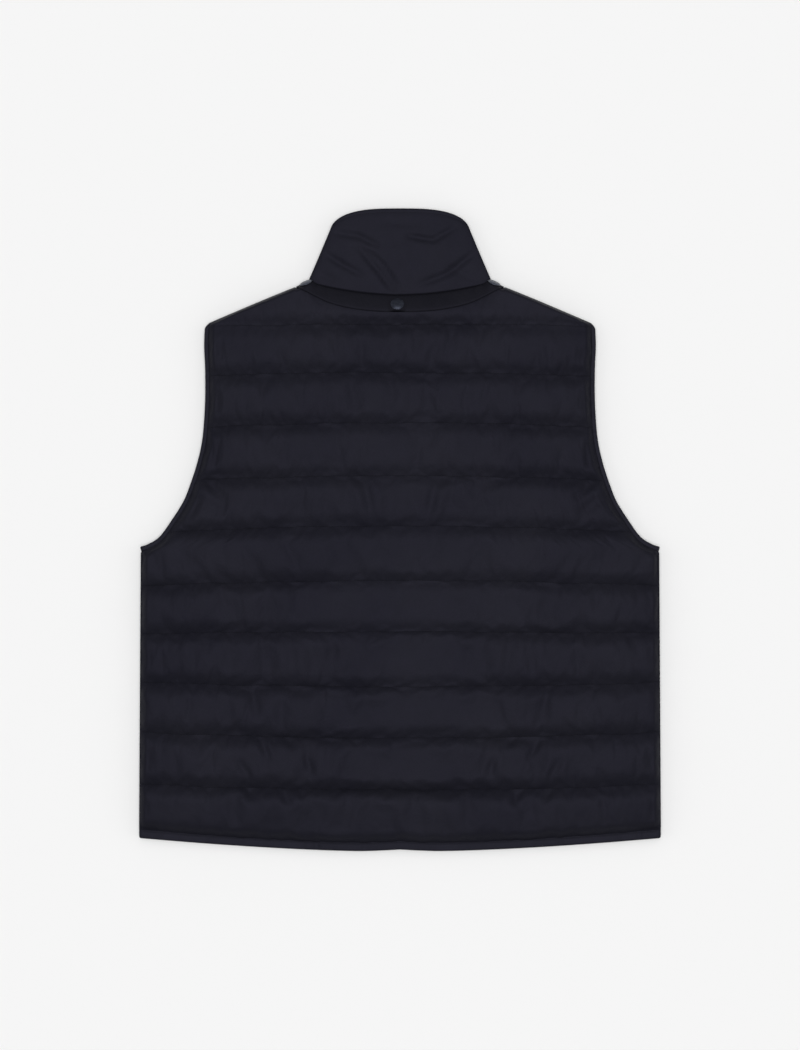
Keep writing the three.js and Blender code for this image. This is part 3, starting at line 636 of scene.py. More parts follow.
def buildFront(name, side, node, seed):
    # the underside: the same channels pressed flat on the surface that the vest lies on
    columns = np.linspace(0, 1, 150)
    columns = columns - 0.3 * np.sin(2 * np.pi * columns) / (2 * np.pi)

    def start(heightAt, end):
        low, high = vest["frontOpening"], vest["neckHalf"]
        if heightAt(np.array(low)) <= frontNeckHeight(low) + 1e-6:
            return low
        for _ in range(40):
            middle = (low + high) / 2
            if frontNeckHeight(middle) < heightAt(np.array(middle)):
                low = middle
            else:
                high = middle
        return high

    x, h, channel, part = channelRows(shoulderHeight, start, columns, 16, 12)
    front = {"edge": 8.6, "neckEdge": 5.0, "groove": 5.2, "reach": 16.0}
    rise = front["edge"] * (1 - roundOff(h - hemSeam(x), quilting["hemReach"]))
    for i in range(len(quiltLines)):
        rise += grooveDepth(front["groove"], h - quiltHeight(i, x), front["reach"])
    rise += grooveDepth(front["neckEdge"], shoulderHeight(x) - h, front["reach"])
    rise += 0.6 * addPuckers(x * side, h, seed)
    rise = np.clip(rise, 0, front["edge"])
    halfs = mix(vest["frontOpening"], vest["neckHalf"], np.sin(np.pi / 2 * np.linspace(0, 1, 25)))
    openingHalfs = np.concatenate([[vest["frontOpening"]], halfs])
    openingHeights = np.concatenate([[0], frontNeckHeight(halfs)])
    opening = 1 - roundOff(distanceTo(openingHalfs, openingHeights, x, h), front["reach"])
    rise = mix(rise, np.maximum(rise, front["neckEdge"]), opening)
    rise = mix(front["edge"], rise, roundOff(sideDistance(x, h), quilting["sideReach"]))
    move = puffUp(x, h, rise, heldPoints(x, h, 16), -1)
    rise = np.clip(rise + move[:, :, 2], 0, front["edge"])
    x, h, rise = insideSeams(x + move[:, :, 0], h + move[:, :, 1], rise)
    piece = panelMesh(name, x * side, h, rise, vest["middle"] - vest["seamGap"] / 2, 16)
    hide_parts(node)
    quiltGrids.append((x * side, h, rise, 16, 0.0))
    return piece


frontLeft = buildFront("front_left_shell", -1, "front_left", 205)
frontRight = buildFront("front_right_shell", 1, "front_right", 305)
print("fronts quilted")

# collar: one wall round a flattened tube, open at the zip

collar = {
    "topHalf": 80.0,
    "foldTop": 713.0,
    "topDrop": 1.1,  # how far the top edge rolls in below the frame's
    "cornerPower": 3.2,
    "cornerRound": 0.53,
    "frontTop": 670.0,
    "thickness": 3.0,
    "halfHeight": 5.0,
    "flatness": 0.45,
    "clearance": 0.7,
    "baseFlare": 2.0,  # how far the back's lower corner stands out past the front's
    "cornerLift": 0.9,
    "quarterSteps": 46,
    "rows": 52,
    "stitchBelowTop": 4.6,
    "stitchDent": 0.5,
    "bulge": 1.6,
}
collarCreases = [  # creases on the back of the collar, as the photo shows them
    ((-45.4, 691.8), (-26.0, 668.0), 2.7, 3.6),
    ((-28.0, 672.0), (-8.6, 645.0), 3.1, 3.4),
    ((-37.0, 690.0), (-19.0, 673.0), 2.0, 2.8),
    ((-21.0, 675.0), (-4.0, 650.0), 2.2, 2.8),
    ((-84.5, 686.1), (-64.0, 672.0), 2.5, 4.0),
    ((-66.0, 674.0), (-46.0, 663.0), 2.0, 4.0),
    ((-77.0, 711.4), (-48.0, 706.0), 2.0, 4.0),
    ((-50.0, 708.0), (-27.0, 696.0), 2.2, 3.6),
    ((24.7, 651.6), (56.0, 664.0), 2.0, 4.0),
    ((54.0, 663.0), (86.0, 688.0), 2.7, 4.2),
    ((9.8, 706.8), (39.7, 701.5), 2.2, 3.4),
    ((37.7, 702.2), (62.5, 716.0), 2.0, 3.8),
    ((-20.0, 722.0), (22.0, 720.0), 0.8, 5.0),
    ((52.0, 672.0), (88.0, 657.0), 1.2, 5.0),
    ((-92.0, 664.0), (-74.0, 655.0), 1.4, 4.0),
]


def collarPoint(side, back, turn, up, inset):
    angle = np.pi / 2 * turn
    across = np.cos(angle)
    centre = 0.0 if back else vest["frontOpening"]
    baseHalf = vest["neckHalf"] - collar["clearance"]
    flare = collar["baseFlare"] * (1 if back else 1 - smoothStep(turn / 0.2))
    baseX = mix(centre, baseHalf + flare - inset, across)
    topX = mix(centre, collar["topHalf"] - inset, across)
    corner = (1 - across ** collar["cornerPower"]) ** collar["cornerRound"]
    drop = vest["neckPoint"] - vest["frontNeck"] - collar["clearance"]
    if back:
        base = backNeckHeight(np.minimum(baseX, vest["neckHalf"]))
        topEdge = mix(collar["foldTop"], vest["length"] - collar["topDrop"], corner)
    else:
        base = frontNeckHeight(np.minimum(baseX, baseHalf - inset), baseHalf - inset, drop)
        topEdge = mix(collar["frontTop"], collar["foldTop"], across**2)
    base = base + collar["cornerLift"] * smoothStep((baseX - vest["neckHalf"] + 4) / 4)
    reach = (collar["halfHeight"] - inset) * np.sin(angle) ** collar["flatness"]
    x = side * mix(baseX, topX, up)
    height = mix(base + vest["seamGap"], topEdge, up)
    z = vest["middle"] + (reach if back else -reach) + 0 * up
    return x, height, z


collarWave = wander(9, 21, -600, 600)


def collarSwell(back, turn, up, x, height, topHeight):
    face = 1 if back else -1
    flat = np.sin(np.pi / 2 * turn) ** 0.6
    swell = collar["bulge"] * np.sin(np.pi * up) ** 0.7
    swell -= collar["stitchDent"] * np.exp(-(((topHeight - height - collar["stitchBelowTop"]) / 1.2) ** 2))
    swell += 0.4 * collarWave(x * 1.7 + 90 * face) * np.sin(np.pi * up)
    if back:
        swell -= addCreases(x, height, collarCreases)
    else:
        swell = np.minimum(swell - 0.7 * addCreases(-x, height - 30, collarCreases), 3.0)
    return face * swell * flat


def buildCollar():
    ease = np.linspace(0, 1, collar["quarterSteps"] + 1)
    stations = [(-1, False, t) for t in ease[:0:-1]] + [(-1, True, t) for t in ease[:-1]]
    stations += [(1, True, t) for t in ease[:0:-1]] + [(1, False, t) for t in ease]
    up = np.linspace(0, 1, collar["rows"] + 1)
    rims = [(1.0, 0.5), (1.0, 1.5), (1.0, 2.5)]
    rings = []
    for side, back, turn in stations:
        x, height, z = collarPoint(side, back, turn, up, 0.0)
        z = z + collarSwell(back, turn, up, x, height, height[-1])
        outer = np.column_stack([x, height, z])
        rim = [collarPoint(side, back, turn, u, inset) for u, inset in rims]
        rim = np.array([(p[0], p[1] + lift, p[2]) for p, lift in zip(rim, (0.1, 0.3, 0.1))])
        inner = np.column_stack(collarPoint(side, back, turn, up[::-4], collar["thickness"]))
        rings.append(np.vstack([outer, rim, inner]))
    piece = loft("collar_shell", rings, False)
    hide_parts("collar")
    return piece


def collarStitchLine(back):
    # points just proud of the collar, one edge stitching below its top
    turns = np.linspace(0.12, 1, 90)
    points = []
    for side, run in ((-1, turns), (1, turns[::-1])):
        for turn in run:
            up = np.linspace(0, 1, 200)
            x, height, z = collarPoint(side, back, turn, up, 0.0)
            z = z + collarSwell(back, turn, up, x, height, height[-1])
            at = int(np.argmin(np.abs(height[-1] - height - collar["stitchBelowTop"])))
            points.append((x[at], height[at], z[at] + (0.12 if back else -0.12)))
    return np.array(points)


collarShell = buildCollar()
print("collar made")

# bindings: flat folded bands round the armholes and along the hem

binding = {
    "thick": 2.7,
    "foldTurns": 8,
    "armholeSteps": 190,
    "tipSlant": 1.05,
    "tipLift": 1.8,
    "underarmLift": 0.8,
    "wave": 0.18,
    "section": 16,
    "hemStitch": 0.84,
    "armholeStitch": 0.8,
}


def bandSection():
    # rounded outside over a flat inside: across from 0 to 1, out from 0 to 1
    angles = np.linspace(0, np.pi, binding["section"])
    across = 0.5 - 0.5 * np.sign(np.cos(angles)) * np.abs(np.cos(angles)) ** 0.55
    out = np.sin(angles) ** 0.55
    return across, 0.12 + 0.88 * out


def bandSurface(share):
    # how far out the rounded face stands at that share of the band's width
    across, out = bandSection()
    return np.interp(share, across, out)


def bandRing(across, out, angle):
    radius = vest["seamGap"] / 2 + binding["thick"] * out
    return radius * np.cos(angle), radius * np.sin(angle)


def sectionPoints():
    across, out = bandSection()
    return np.concatenate([across, [1, 0]]), np.concatenate([out, [0, 0]])


def armholeRipple(seed, part, angle):
    return 1 + binding["wave"] * float(ripples[seed](part * armholeLength + 320 * (angle > 1)))


def armholeBandPoint(side, seed, part, angle, across, out):
    radius = vest["seamGap"] / 2 + binding["thick"]
    up, past = bandRing(across, out, angle)
    slant = binding["tipSlant"] * vest["bindingWidth"] * (1 - across) ** 1.4
    tip = armholeLength - radius + binding["tipLift"] - slant
    along = mix(radius - binding["underarmLift"], tip, part) + past
    half, height = besideArmhole(along, vest["bindingWidth"] * across)
    puff = mix(1, armholeRipple(seed, part, angle), smoothStep(out * 2 - 0.5))
    return np.column_stack([side * half, height, vest["middle"] + up * puff])


ripples = {31: wander(31, 5.5, -20, 1000), 32: wander(32, 5.5, -20, 1000), 77: wander(77, 8, -360, 400)}


def buildArmholeBinding(name, side, node, seed):
    steps, turns = binding["armholeSteps"], binding["foldTurns"]
    stations = [(1.0, math.pi * i / turns) for i in range(turns + 1)]
    stations += [(i / steps, math.pi) for i in range(steps - 1, 0, -1)]
    stations += [(0.0, math.pi * (1 + i / turns)) for i in range(turns + 1)]
    stations += [(i / steps, 0.0) for i in range(1, steps)]
    across, out = sectionPoints()
    rings = [armholeBandPoint(side, seed, part, angle, across, out) for part, angle in stations]
    piece = loft(name, rings, True)
    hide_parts(node)
    return piece


hemTucks = [(-96.0, 3.0), (97.5, 3.0), (-276.6, 3.5), (275.0, 3.0), (-183.4, 3.0), (184.5, 3.2)]


def hemBandPoint(x, angle, across, out):
    up, past = bandRing(across, out, angle)
    dent = sum(0.35 * math.exp(-(((x - place) / width) ** 2)) for place, width in hemTucks)
    lift = binding["wave"] * float(ripples[77](x + 40 * (angle > 1))) - dent
    puff = 1 + lift * smoothStep(out * 2 - 0.5)
    groove = 1 - 0.25 * np.exp(-(((across - binding["hemStitch"]) / 0.06) ** 2))
    height = hemHeight(x + past) + vest["hemBand"] * across
    return np.column_stack([x + past, height, vest["middle"] + up * puff * groove])


def buildHemBinding():
    limit = vest["hemHalf"] - vest["seamGap"] / 2 - binding["thick"]
    turns = binding["foldTurns"]
    lower = np.linspace(vest["frontOpening"], limit, 120)
    stations = [(-x, math.pi) for x in lower[:-1]]
    stations += [(-limit, math.pi * (1 + i / turns)) for i in range(turns + 1)]
    stations += [(x, 0.0) for x in np.linspace(-limit, limit, 300)[1:-1]]
    stations += [(limit, math.pi * i / turns) for i in range(turns + 1)]
    stations += [(x, math.pi) for x in lower[:-1][::-1]]
    across, out = sectionPoints()
    rings = [hemBandPoint(x, angle, across, out) for x, angle in stations]
    piece = loft("hem_band", rings, False)
    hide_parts("hem_binding")
    return piece


armholeLeft = buildArmholeBinding("armhole_band_left", -1, "armhole_binding_left", 31)
armholeRight = buildArmholeBinding("armhole_band_right", 1, "armhole_binding_right", 32)
hemBand = buildHemBinding()
print("bindings made")

shoulderNormal = Vector((vest["shoulderSlope"], 1)).normalized()


def foldPoint(width, angle, out):
    x = mix(strip["lowHalf"], vest["neckHalf"], width)
    reach, lift = strip["foldReach"] + out, strip["foldHeight"] + out
    height = shoulderHeight(x) + shoulderNormal.y * reach * math.sin(angle)
    z = vest["middle"] + lift * math.cos(angle)
    return x + shoulderNormal.x * reach * math.sin(angle), height, z + 0 * width


def overBack(x, h):
    return finishBack(x, h, backSurface(x, h)) + strip["lift"]


def stripLine(station, width, out):
    x, fold, angle = station
    if angle is not None:
        return np.array(foldPoint(width, angle, out))
    high = backNeckHeight(x) - vest["seamGap"]
    height = mix(stripLow(x), high, width)
    wide = np.full_like(width, x)
    flat = np.array([wide, height, overBack(wide, height) + out])
    if not fold:
        return flat
    turned = np.array(foldPoint(width, 0.0, out))
    between = mix(flat, turned, fold)
    clear = overBack(between[0], between[1]) + strip["foldLift"] + out
    between[2] = np.maximum(clear, between[2])
    return between


def snapPlaces():
    # base point and direction of each snap cap, in vest millimetres
    x, h, r = snap["centreX"], snap["centreHeight"], snap["radius"]
    above = strip["lift"] + strip["thickness"]
    ys = np.linspace(-r, r, 9)
    zs = backSurface(np.full(9, x), h + ys) + above
    slope = snap["lean"] * (zs[-1] - zs[0]) / (2 * r)
    lift = (zs - slope * ys).max() - zs[4]
    places = {"snap_centre": (Vector((x, h, zs[4] + lift + 0.3)), Vector((0, -slope, 1)).normalized())}
    tilt = math.radians(snap["tilt"])
    reach = strip["foldReach"] + strip["thickness"]
    rise = strip["foldHeight"] + strip["thickness"]
    angle = math.atan2(reach * math.cos(tilt), rise * math.sin(tilt))
    seat = foldPoint(snap["alongFold"], angle, strip["thickness"])
    for name, side in (("snap_left", -1), ("snap_right", 1)):
        out = Vector((side * shoulderNormal.x * math.cos(tilt), shoulderNormal.y * math.cos(tilt), math.sin(tilt)))
        places[name] = (Vector((side * seat[0], seat[1], seat[2])) + out * 0.3, out)
    return places


def drawTo(points, base, direction, depth):
    # pulls cloth up flat against the underside of a snap cap
    rel = points - np.array(base)
    out = np.array(direction)
    along = rel @ out
    radial = np.linalg.norm(rel - np.outer(along, out), axis=1)
    weight = 1 - smoothStep((radial - snap["radius"] * 0.9) / 5.0)
    near = np.abs(along) < 9
    return points + np.outer((-depth - along) * weight * near, out)


def buildStrip():
    width = np.linspace(0, 1, strip["rows"])
    half = [(x, 0, None) for x in np.linspace(0, strip["leaves"], 46)]
    half += [(strip["leaves"], i / 12, None) for i in range(1, 12)]
    half += [(0, 0, math.radians(strip["foldEnd"]) * i / 22) for i in range(23)]
    places = snapPlaces()
    ripple = wander(61, 7, -320, 320)
    rings = []
    order = [(-1, s) for s in half[:0:-1]] + [(1, s) for s in half]
    rounding = np.minimum(1, np.minimum(width, 1 - width) * 9) ** 0.5
    for k, (side, station) in enumerate(order):
        wave = 0.14 * float(ripple(k * 4.0))
        outer = stripLine(station, width, strip["thickness"]).T
        inner = stripLine(station, width[::-1], 0.0).T
        outer = mix(inner[::-1], outer, (0.35 + 0.65 * rounding)[:, None])
        outer[:, 2] += wave * rounding
        sign = np.array([side, 1, 1])
        outer, inner = outer * sign, inner * sign
        for base, direction in places.values():
            outer = drawTo(outer, base, direction, 0.25)
            inner = drawTo(inner, base, direction, 1.9) if base.x * side > 50 else inner
        rings.append(np.vstack([outer, inner]))
    piece = loft("neck_strip_shell", rings, False)
    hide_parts("neck_strip")
    return piece


neckStrip = buildStrip()
print("neck strip made")


# snap caps: turned metal caps with a rolled rim and a low dome

def selectFaces(piece, test):
    bpy.ops.mesh.select_all(action="DESELECT")
    bpy.ops.object.mode_set(mode="OBJECT")
    for face in piece.data.polygons:
        face.select = test(face)
    bpy.ops.object.mode_set(mode="EDIT")


def buildSnapCap():
    cap = {"wall": 0.8, "edge": 0.4, "dome": 1.1, "roundness": 3.0, "rings": 12}
    bpy.ops.object.select_all(action="DESELECT")
    bpy.ops.mesh.primitive_cylinder_add(
        vertices=72, radius=snap["radius"] * mm, depth=cap["wall"] * mm,
        location=(0, 0, cap["wall"] / 2 * mm),
    )
    piece = bpy.context.object
    bpy.ops.object.transform_apply(location=True, rotation=True, scale=True)
    bpy.ops.object.mode_set(mode="EDIT")
    bpy.ops.mesh.select_mode(type="FACE")
    selectFaces(piece, lambda face: face.normal.z > 0.9)
    bpy.ops.mesh.inset(thickness=cap["edge"] * mm)
    ring = (snap["radius"] - cap["edge"]) / (cap["rings"] + 0.5)
    for i in range(cap["rings"]):
        # each ring stands higher than the last, along a low round dome
        before, after = 1 - i / cap["rings"], 1 - (i + 1) / cap["rings"]
        bpy.ops.mesh.inset(thickness=ring * mm)
        step = before ** cap["roundness"] - after ** cap["roundness"]
        bpy.ops.transform.translate(value=(0, 0, cap["dome"] * step * mm))
    bpy.ops.object.mode_set(mode="OBJECT")
    applyModifier(piece, "BEVEL", width=0.22 * mm, segments=3, limit_method="ANGLE", angle_limit=math.radians(30))
    smoothByAngle(piece, 55)
    return piece


def buildSnaps():
    master = buildSnapCap()
    caps = []
    for node, (base, direction) in snapPlaces().items():
        piece = master.copy()
        piece.data = master.data.copy()
        piece.name = piece.data.name = node + "_cap"
        bpy.context.collection.objects.link(piece)
        turn = Vector((0, 0, 1)).rotation_difference(direction).to_matrix().to_4x4()
        piece.data.transform(turn)
        place = Vector((base.x, base.y - vest["length"] / 2, base.z)) * mm
        for vertex in piece.data.vertices:
            vertex.co += place
        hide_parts(node)
        caps.append(piece)
    bpy.data.objects.remove(master)
    return caps


snapCaps = buildSnaps()
print("snaps made")

# sewing: one short thread stitch after another along each line

thread = {"pitch": 3.2, "length": 2.5, "radius": 0.22, "sides": 6}


def stitchLine(points, pitch=None):
    # centres, directions of the stitches along a line of points
    pitch = pitch or thread["pitch"]
    points = np.asarray(points, float)
    along = np.concatenate([[0], np.cumsum(np.linalg.norm(np.diff(points, axis=0), axis=1))])
    centres = np.arange(pitch / 2, along[-1], pitch)
    at = np.column_stack([np.interp(centres, along, points[:, k]) for k in range(3)])
    ahead = np.column_stack([np.interp(centres + 0.8, along, points[:, k]) for k in range(3)])
    behind = np.column_stack([np.interp(centres - 0.8, along, points[:, k]) for k in range(3)])
    run = ahead - behind
    return at, run / np.linalg.norm(run, axis=1, keepdims=True)


def stitchMesh(name, lines):
    # a stitch is a small closed spindle; all the stitches of a piece are one mesh
    profile = [(-0.5, 0.0), (-0.42, 0.75), (0.0, 1.0), (0.42, 0.75), (0.5, 0.0)]
    sides = thread["sides"]
    turn = np.arange(sides) * 2 * np.pi / sides
    points, faces = [], []
    for line in lines:
        centres, runs = stitchLine(line)
        for centre, run in zip(centres, runs):
            side = np.cross(run, (0.0, 0.0, 1.0))
            norm = np.linalg.norm(side)
            side = side / norm if norm > 0.2 else np.array((1.0, 0, 0))
            top = np.cross(side, run)
            start = len(points)
            points.append(centre - run * 0.5 * thread["length"])
            for place, wide in profile[1:-1]:
                ring = np.outer(np.cos(turn), side) + np.outer(np.sin(turn), top)
                points.extend(centre + run * place * thread["length"] + ring * thread["radius"] * wide)
            points.append(centre + run * 0.5 * thread["length"])
            for k in range(sides):
                n = (k + 1) % sides
                faces.append((start, start + 1 + n, start + 1 + k))
                for ring in range(2):
                    low = start + 1 + ring * sides
                    faces.append((low + k, low + n, low + sides + n, low + sides + k))
                last = start + 1 + 2 * sides
                faces.append((last + k, last + n, start + 1 + 3 * sides))
    return meshFrom(name, points, faces)


def bandStitches():
    # one row of stitches round each armhole and one along the hem, on both faces
    lines = []
    raised = np.array([bandSurface(binding["armholeStitch"])])
    inner = np.array([binding["armholeStitch"]])
    for side, seed in ((-1, 31), (1, 32)):
        for angle, up in ((0.0, 0.12), (math.pi, -0.12)):
            parts = np.linspace(0.01, 0.985, 320)
            points = np.vstack([armholeBandPoint(side, seed, part, angle, inner, raised) for part in parts])
            lines.append(points + (0, 0, up))
    raised = np.array([bandSurface(binding["hemStitch"])])
    inner = np.array([binding["hemStitch"]])
    spans = [(-295, 295, 0.0, 0.12), (-295, -12, math.pi, -0.12), (12, 295, math.pi, -0.12)]
    for low, high, angle, up in spans:
        points = np.vstack([hemBandPoint(x, angle, inner, raised) for x in np.linspace(low, high, 400)])
        lines.append(points + (0, 0, up))
    return lines


def buildStitches():
    lines = []
    for gx, gh, gz, channelRows, up in quiltGrids:
        for i in range(1, len(quiltLines) + 1):
            row = i * channelRows
            lines.append(np.column_stack([gx[row], gh[row], gz[row] + up])[3:-3])
    quiltThread = stitchMesh("quilt_stitches", lines)
    bindingThread = stitchMesh("binding_stitches", bandStitches())
    collarThread = stitchMesh("collar_stitches", [collarStitchLine(True), collarStitchLine(False)])
    return quiltThread, bindingThread, collarThread


quiltStitches, bindingStitches, collarStitches = buildStitches()
print("sewing made")

# zip: moulded teeth on two tapes, with the slider and its pull tab at the top

zipTeeth = {"pitch": 2.5, "thick": 1.1, "start": 5.0, "end": 661.0, "reach": 0.9, "root": 3.5, "low": 6.3, "high": 8.8}


def buildTeeth():
    z = zipTeeth
    count = int((z["end"] - z["start"]) / z["pitch"])
    rows = []
    for side, shift in ((-1, 0.0), (1, z["pitch"] / 2)):
        width = z["root"] + z["reach"]
        centreX = side * (z["root"] - width / 2)
        bpy.ops.object.select_all(action="DESELECT")
        bpy.ops.mesh.primitive_cube_add(size=1, location=(0, 0, 0))
        tooth = bpy.context.object
        tooth.scale = (width * mm, z["thick"] * mm, (z["high"] - z["low"]) * mm)
        startY = z["start"] + z["thick"] / 2 + shift - vest["length"] / 2
        tooth.location = (centreX * mm, startY * mm, (z["low"] + z["high"]) / 2 * mm)
        bpy.ops.object.transform_apply(location=True, rotation=True, scale=True)
        applyModifier(tooth, "BEVEL", width=0.25 * mm, segments=1)
        applyModifier(
            tooth, "ARRAY", count=count, use_relative_offset=False, use_constant_offset=True,
            constant_offset_displace=(0, z["pitch"] * mm, 0),
        )
        rows.append(tooth)
    bpy.ops.object.select_all(action="DESELECT")
    for tooth in rows:
        tooth.select_set(True)
    bpy.context.view_layer.objects.active = rows[0]
    bpy.ops.object.join()
    piece = bpy.context.object
    piece.name = piece.data.name = "zip_teeth_rows"
    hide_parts("zip_chain")
    smoothByAngle(piece, 40)
    return piece


teeth = buildTeeth()


def softenedCopy(node, name, width):
    # the frame's own hard piece with its edges eased, as it comes out of the tumbler
    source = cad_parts[node]
    piece = source.copy()
    piece.data = source.data.copy()
    piece.name = piece.data.name = name
    piece.parent = None
    piece.animation_data_clear()
    for key in list(piece.keys()):
        del piece[key]
    bpy.context.collection.objects.link(piece)
    only(piece)
    bpy.ops.object.mode_set(mode="EDIT")
    bpy.ops.mesh.select_all(action="SELECT")
    bpy.ops.mesh.remove_doubles(threshold=0.00001)
    bpy.ops.mesh.dissolve_limited(angle_limit=math.radians(2))
    bpy.ops.object.mode_set(mode="OBJECT")
    applyModifier(piece, "BEVEL", width=width * mm, segments=2, limit_method="ANGLE", angle_limit=math.radians(35))
    smoothByAngle(piece, 40)
    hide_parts(node)
    return piece


slider = softenedCopy("zip_slider", "slider_body", 0.25)
pullTab = softenedCopy("zip_pull", "pull_tab", 0.22)
print("zip made")


# materials

def addNode(tree, kind, settings=None, links=None):
    # one node with its settings, its input values and the sockets linked into it
    node = tree.nodes.new(kind)
    for key, value in (settings or {}).items():
        if isinstance(key, int) or key in node.inputs:
            node.inputs[key].default_value = value
        else:
            setattr(node, key, value)
    for key, socket in (links or {}).items():
        tree.links.new(socket, node.inputs[key])
    return node


def newMaterial(name):
    material = bpy.data.materials.new(name)
    material.use_nodes = True
    tree = material.node_tree
    tree.nodes.clear()
    shader = addNode(tree, "ShaderNodeBsdfPrincipled")
    output = addNode(tree, "ShaderNodeOutputMaterial", links={"Surface": shader.outputs[0]})
    coordinates = addNode(tree, "ShaderNodeTexCoord").outputs["Object"]
    return material, tree, shader, coordinates


def waveScale(periodMm):
    # a band texture's scale for that many millimetres from band to band
    return 2 * math.pi / (20 * periodMm * mm)


def noiseScale(grainMm):
    return 1 / (grainMm * mm)


def clothMaterial(name, look):
    # woven cloth: crossed thread bands, fine crinkle, and a slow drift of tone and gloss
    material, tree, shader, place = newMaterial(name)
    drift = addNode(
        tree, "ShaderNodeTexNoise", {"Scale": noiseScale(look["driftMm"]), "Detail": 3.0}, {"Vector": place}
    )
    mottle = addNode(
        tree, "ShaderNodeTexNoise", {"Scale": noiseScale(look["mottleMm"]), "Detail": 4.0}, {"Vector": place}
    )
    blend = addNode(
        tree, "ShaderNodeMath", {"operation": "MULTIPLY_ADD", 1: 0.35},
        {0: mottle.outputs["Fac"], 2: drift.outputs["Fac"]},
    )
    tone = addNode(tree, "ShaderNodeValToRGB", links={"Fac": blend.outputs[0]})
    tone.color_ramp.elements[0].position = 0.45
    tone.color_ramp.elements[1].position = 0.95
    tone.color_ramp.elements[0].color = linearColour(look["dark"])
    tone.color_ramp.elements[1].color = linearColour(look["light"])
    tree.links.new(tone.outputs["Color"], shader.inputs["Base Color"])
    gloss = addNode(
        tree, "ShaderNodeMapRange", {"To Min": look["roughness"] - 0.06, "To Max": look["roughness"] + 0.06},
        {"Value": mottle.outputs["Fac"]},
    )
    tree.links.new(gloss.outputs[0], shader.inputs["Roughness"])
    warp, weft = (
        addNode(
            tree, "ShaderNodeTexWave",
            {"bands_direction": axis, "Scale": waveScale(look["threadMm"]), "Distortion": 0.4, "Detail": 1.0},
            {"Vector": place},
        )
        for axis in ("X", "Y")
    )
    weave = addNode(
        tree, "ShaderNodeMath", {"operation": "MULTIPLY"}, {0: warp.outputs["Fac"], 1: weft.outputs["Fac"]}
    )
    threads = addNode(
        tree, "ShaderNodeBump", {"Strength": look["weaveStrength"], "Distance": 0.0002}, {"Height": weave.outputs[0]}
    )
    crinkle = addNode(
        tree, "ShaderNodeTexNoise", {"Scale": noiseScale(look["crinkleMm"]), "Detail": 5.0, "Distortion": 0.6},
        {"Vector": place},
    )
    folds = addNode(
        tree, "ShaderNodeBump", {"Strength": look["crinkleStrength"], "Distance": 0.001},
        {"Height": crinkle.outputs["Fac"], "Normal": threads.outputs[0]},
    )
    tree.links.new(folds.outputs[0], shader.inputs["Normal"])
    shader.inputs["Specular IOR Level"].default_value = look["specular"]
    shader.inputs["Specular Tint"].default_value = linearColour("#dcd9ff")
    shader.inputs["Sheen Weight"].default_value = look["sheen"]
    shader.inputs["Sheen Roughness"].default_value = 0.45
    shader.inputs["Sheen Tint"].default_value = linearColour("#9aa0b8")
    return material


# downproof nylon taffeta, calendered: very dark navy, nearly matte with a soft cool sheen on the slopes;
# its threads are a quarter millimetre apart and are drawn three times coarser so that they show
downproofNylon = clothMaterial("downproof_nylon_taffeta", {
    "dark": "#16161d", "light": "#1b1b21", "roughness": 0.54, "specular": 0.085, "sheen": 0.0,
    "driftMm": 90, "mottleMm": 14, "crinkleMm": 7, "threadMm": 0.8,
    "weaveStrength": 0.25, "crinkleStrength": 0.35,
})
# the same nylon cut on the bias and folded for the bindings; its colour is painted a shade lighter than the body's,
# painted light for the light its tight folds catch
bindingNylonPaintedLighter = clothMaterial("binding_nylon_painted_lighter", {
    "dark": "#19191f", "light": "#1e1e25", "roughness": 0.54, "specular": 0.095, "sheen": 0.0,
    "driftMm": 40, "mottleMm": 9, "crinkleMm": 4, "threadMm": 0.7,
    "weaveStrength": 0.3, "crinkleStrength": 0.3,
})
# the strip's nylon is pressed flat over its backing and a little rougher, so it looks flatter; its colour is painted
# darker than the body's, painted shade from the collar above it
stripNylonPaintedDarker = clothMaterial("strip_nylon_painted_darker", {
    "dark": "#141419", "light": "#18181d", "roughness": 0.58, "specular": 0.078, "sheen": 0.0,
    "driftMm": 40, "mottleMm": 9, "crinkleMm": 5, "threadMm": 0.7,
    "weaveStrength": 0.3, "crinkleStrength": 0.3,
})
# knitted polyester zip tape: matte, ribbed along its length
zipTape = clothMaterial("polyester_zip_tape", {
    "dark": "#191a20", "light": "#202128", "roughness": 0.82, "specular": 0.15, "sheen": 0.08,
    "driftMm": 30, "mottleMm": 5, "crinkleMm": 2.5, "threadMm": 0.9,
    "weaveStrength": 0.6, "crinkleStrength": 0.2,
})


def threadMaterial():
    # spun polyester sewing thread: two plies twisted, matt and a shade darker than the cloth
    material, tree, shader, place = newMaterial("polyester_thread")
    ply = addNode(
        tree, "ShaderNodeTexWave",
        {"bands_direction": "DIAGONAL", "Scale": waveScale(0.6), "Distortion": 0.3}, {"Vector": place},
    )
    tone = addNode(tree, "ShaderNodeValToRGB", links={"Fac": ply.outputs["Fac"]})
    tone.color_ramp.elements[0].color = linearColour("#0a0b0e")
    tone.color_ramp.elements[1].color = linearColour("#111216")
    tree.links.new(tone.outputs["Color"], shader.inputs["Base Color"])
    bump = addNode(tree, "ShaderNodeBump", {"Strength": 0.5, "Distance": 0.0001}, {"Height": ply.outputs["Fac"]})
    tree.links.new(bump.outputs[0], shader.inputs["Normal"])
    shader.inputs["Roughness"].default_value = 0.55
    shader.inputs["Specular IOR Level"].default_value = 0.06
    return material


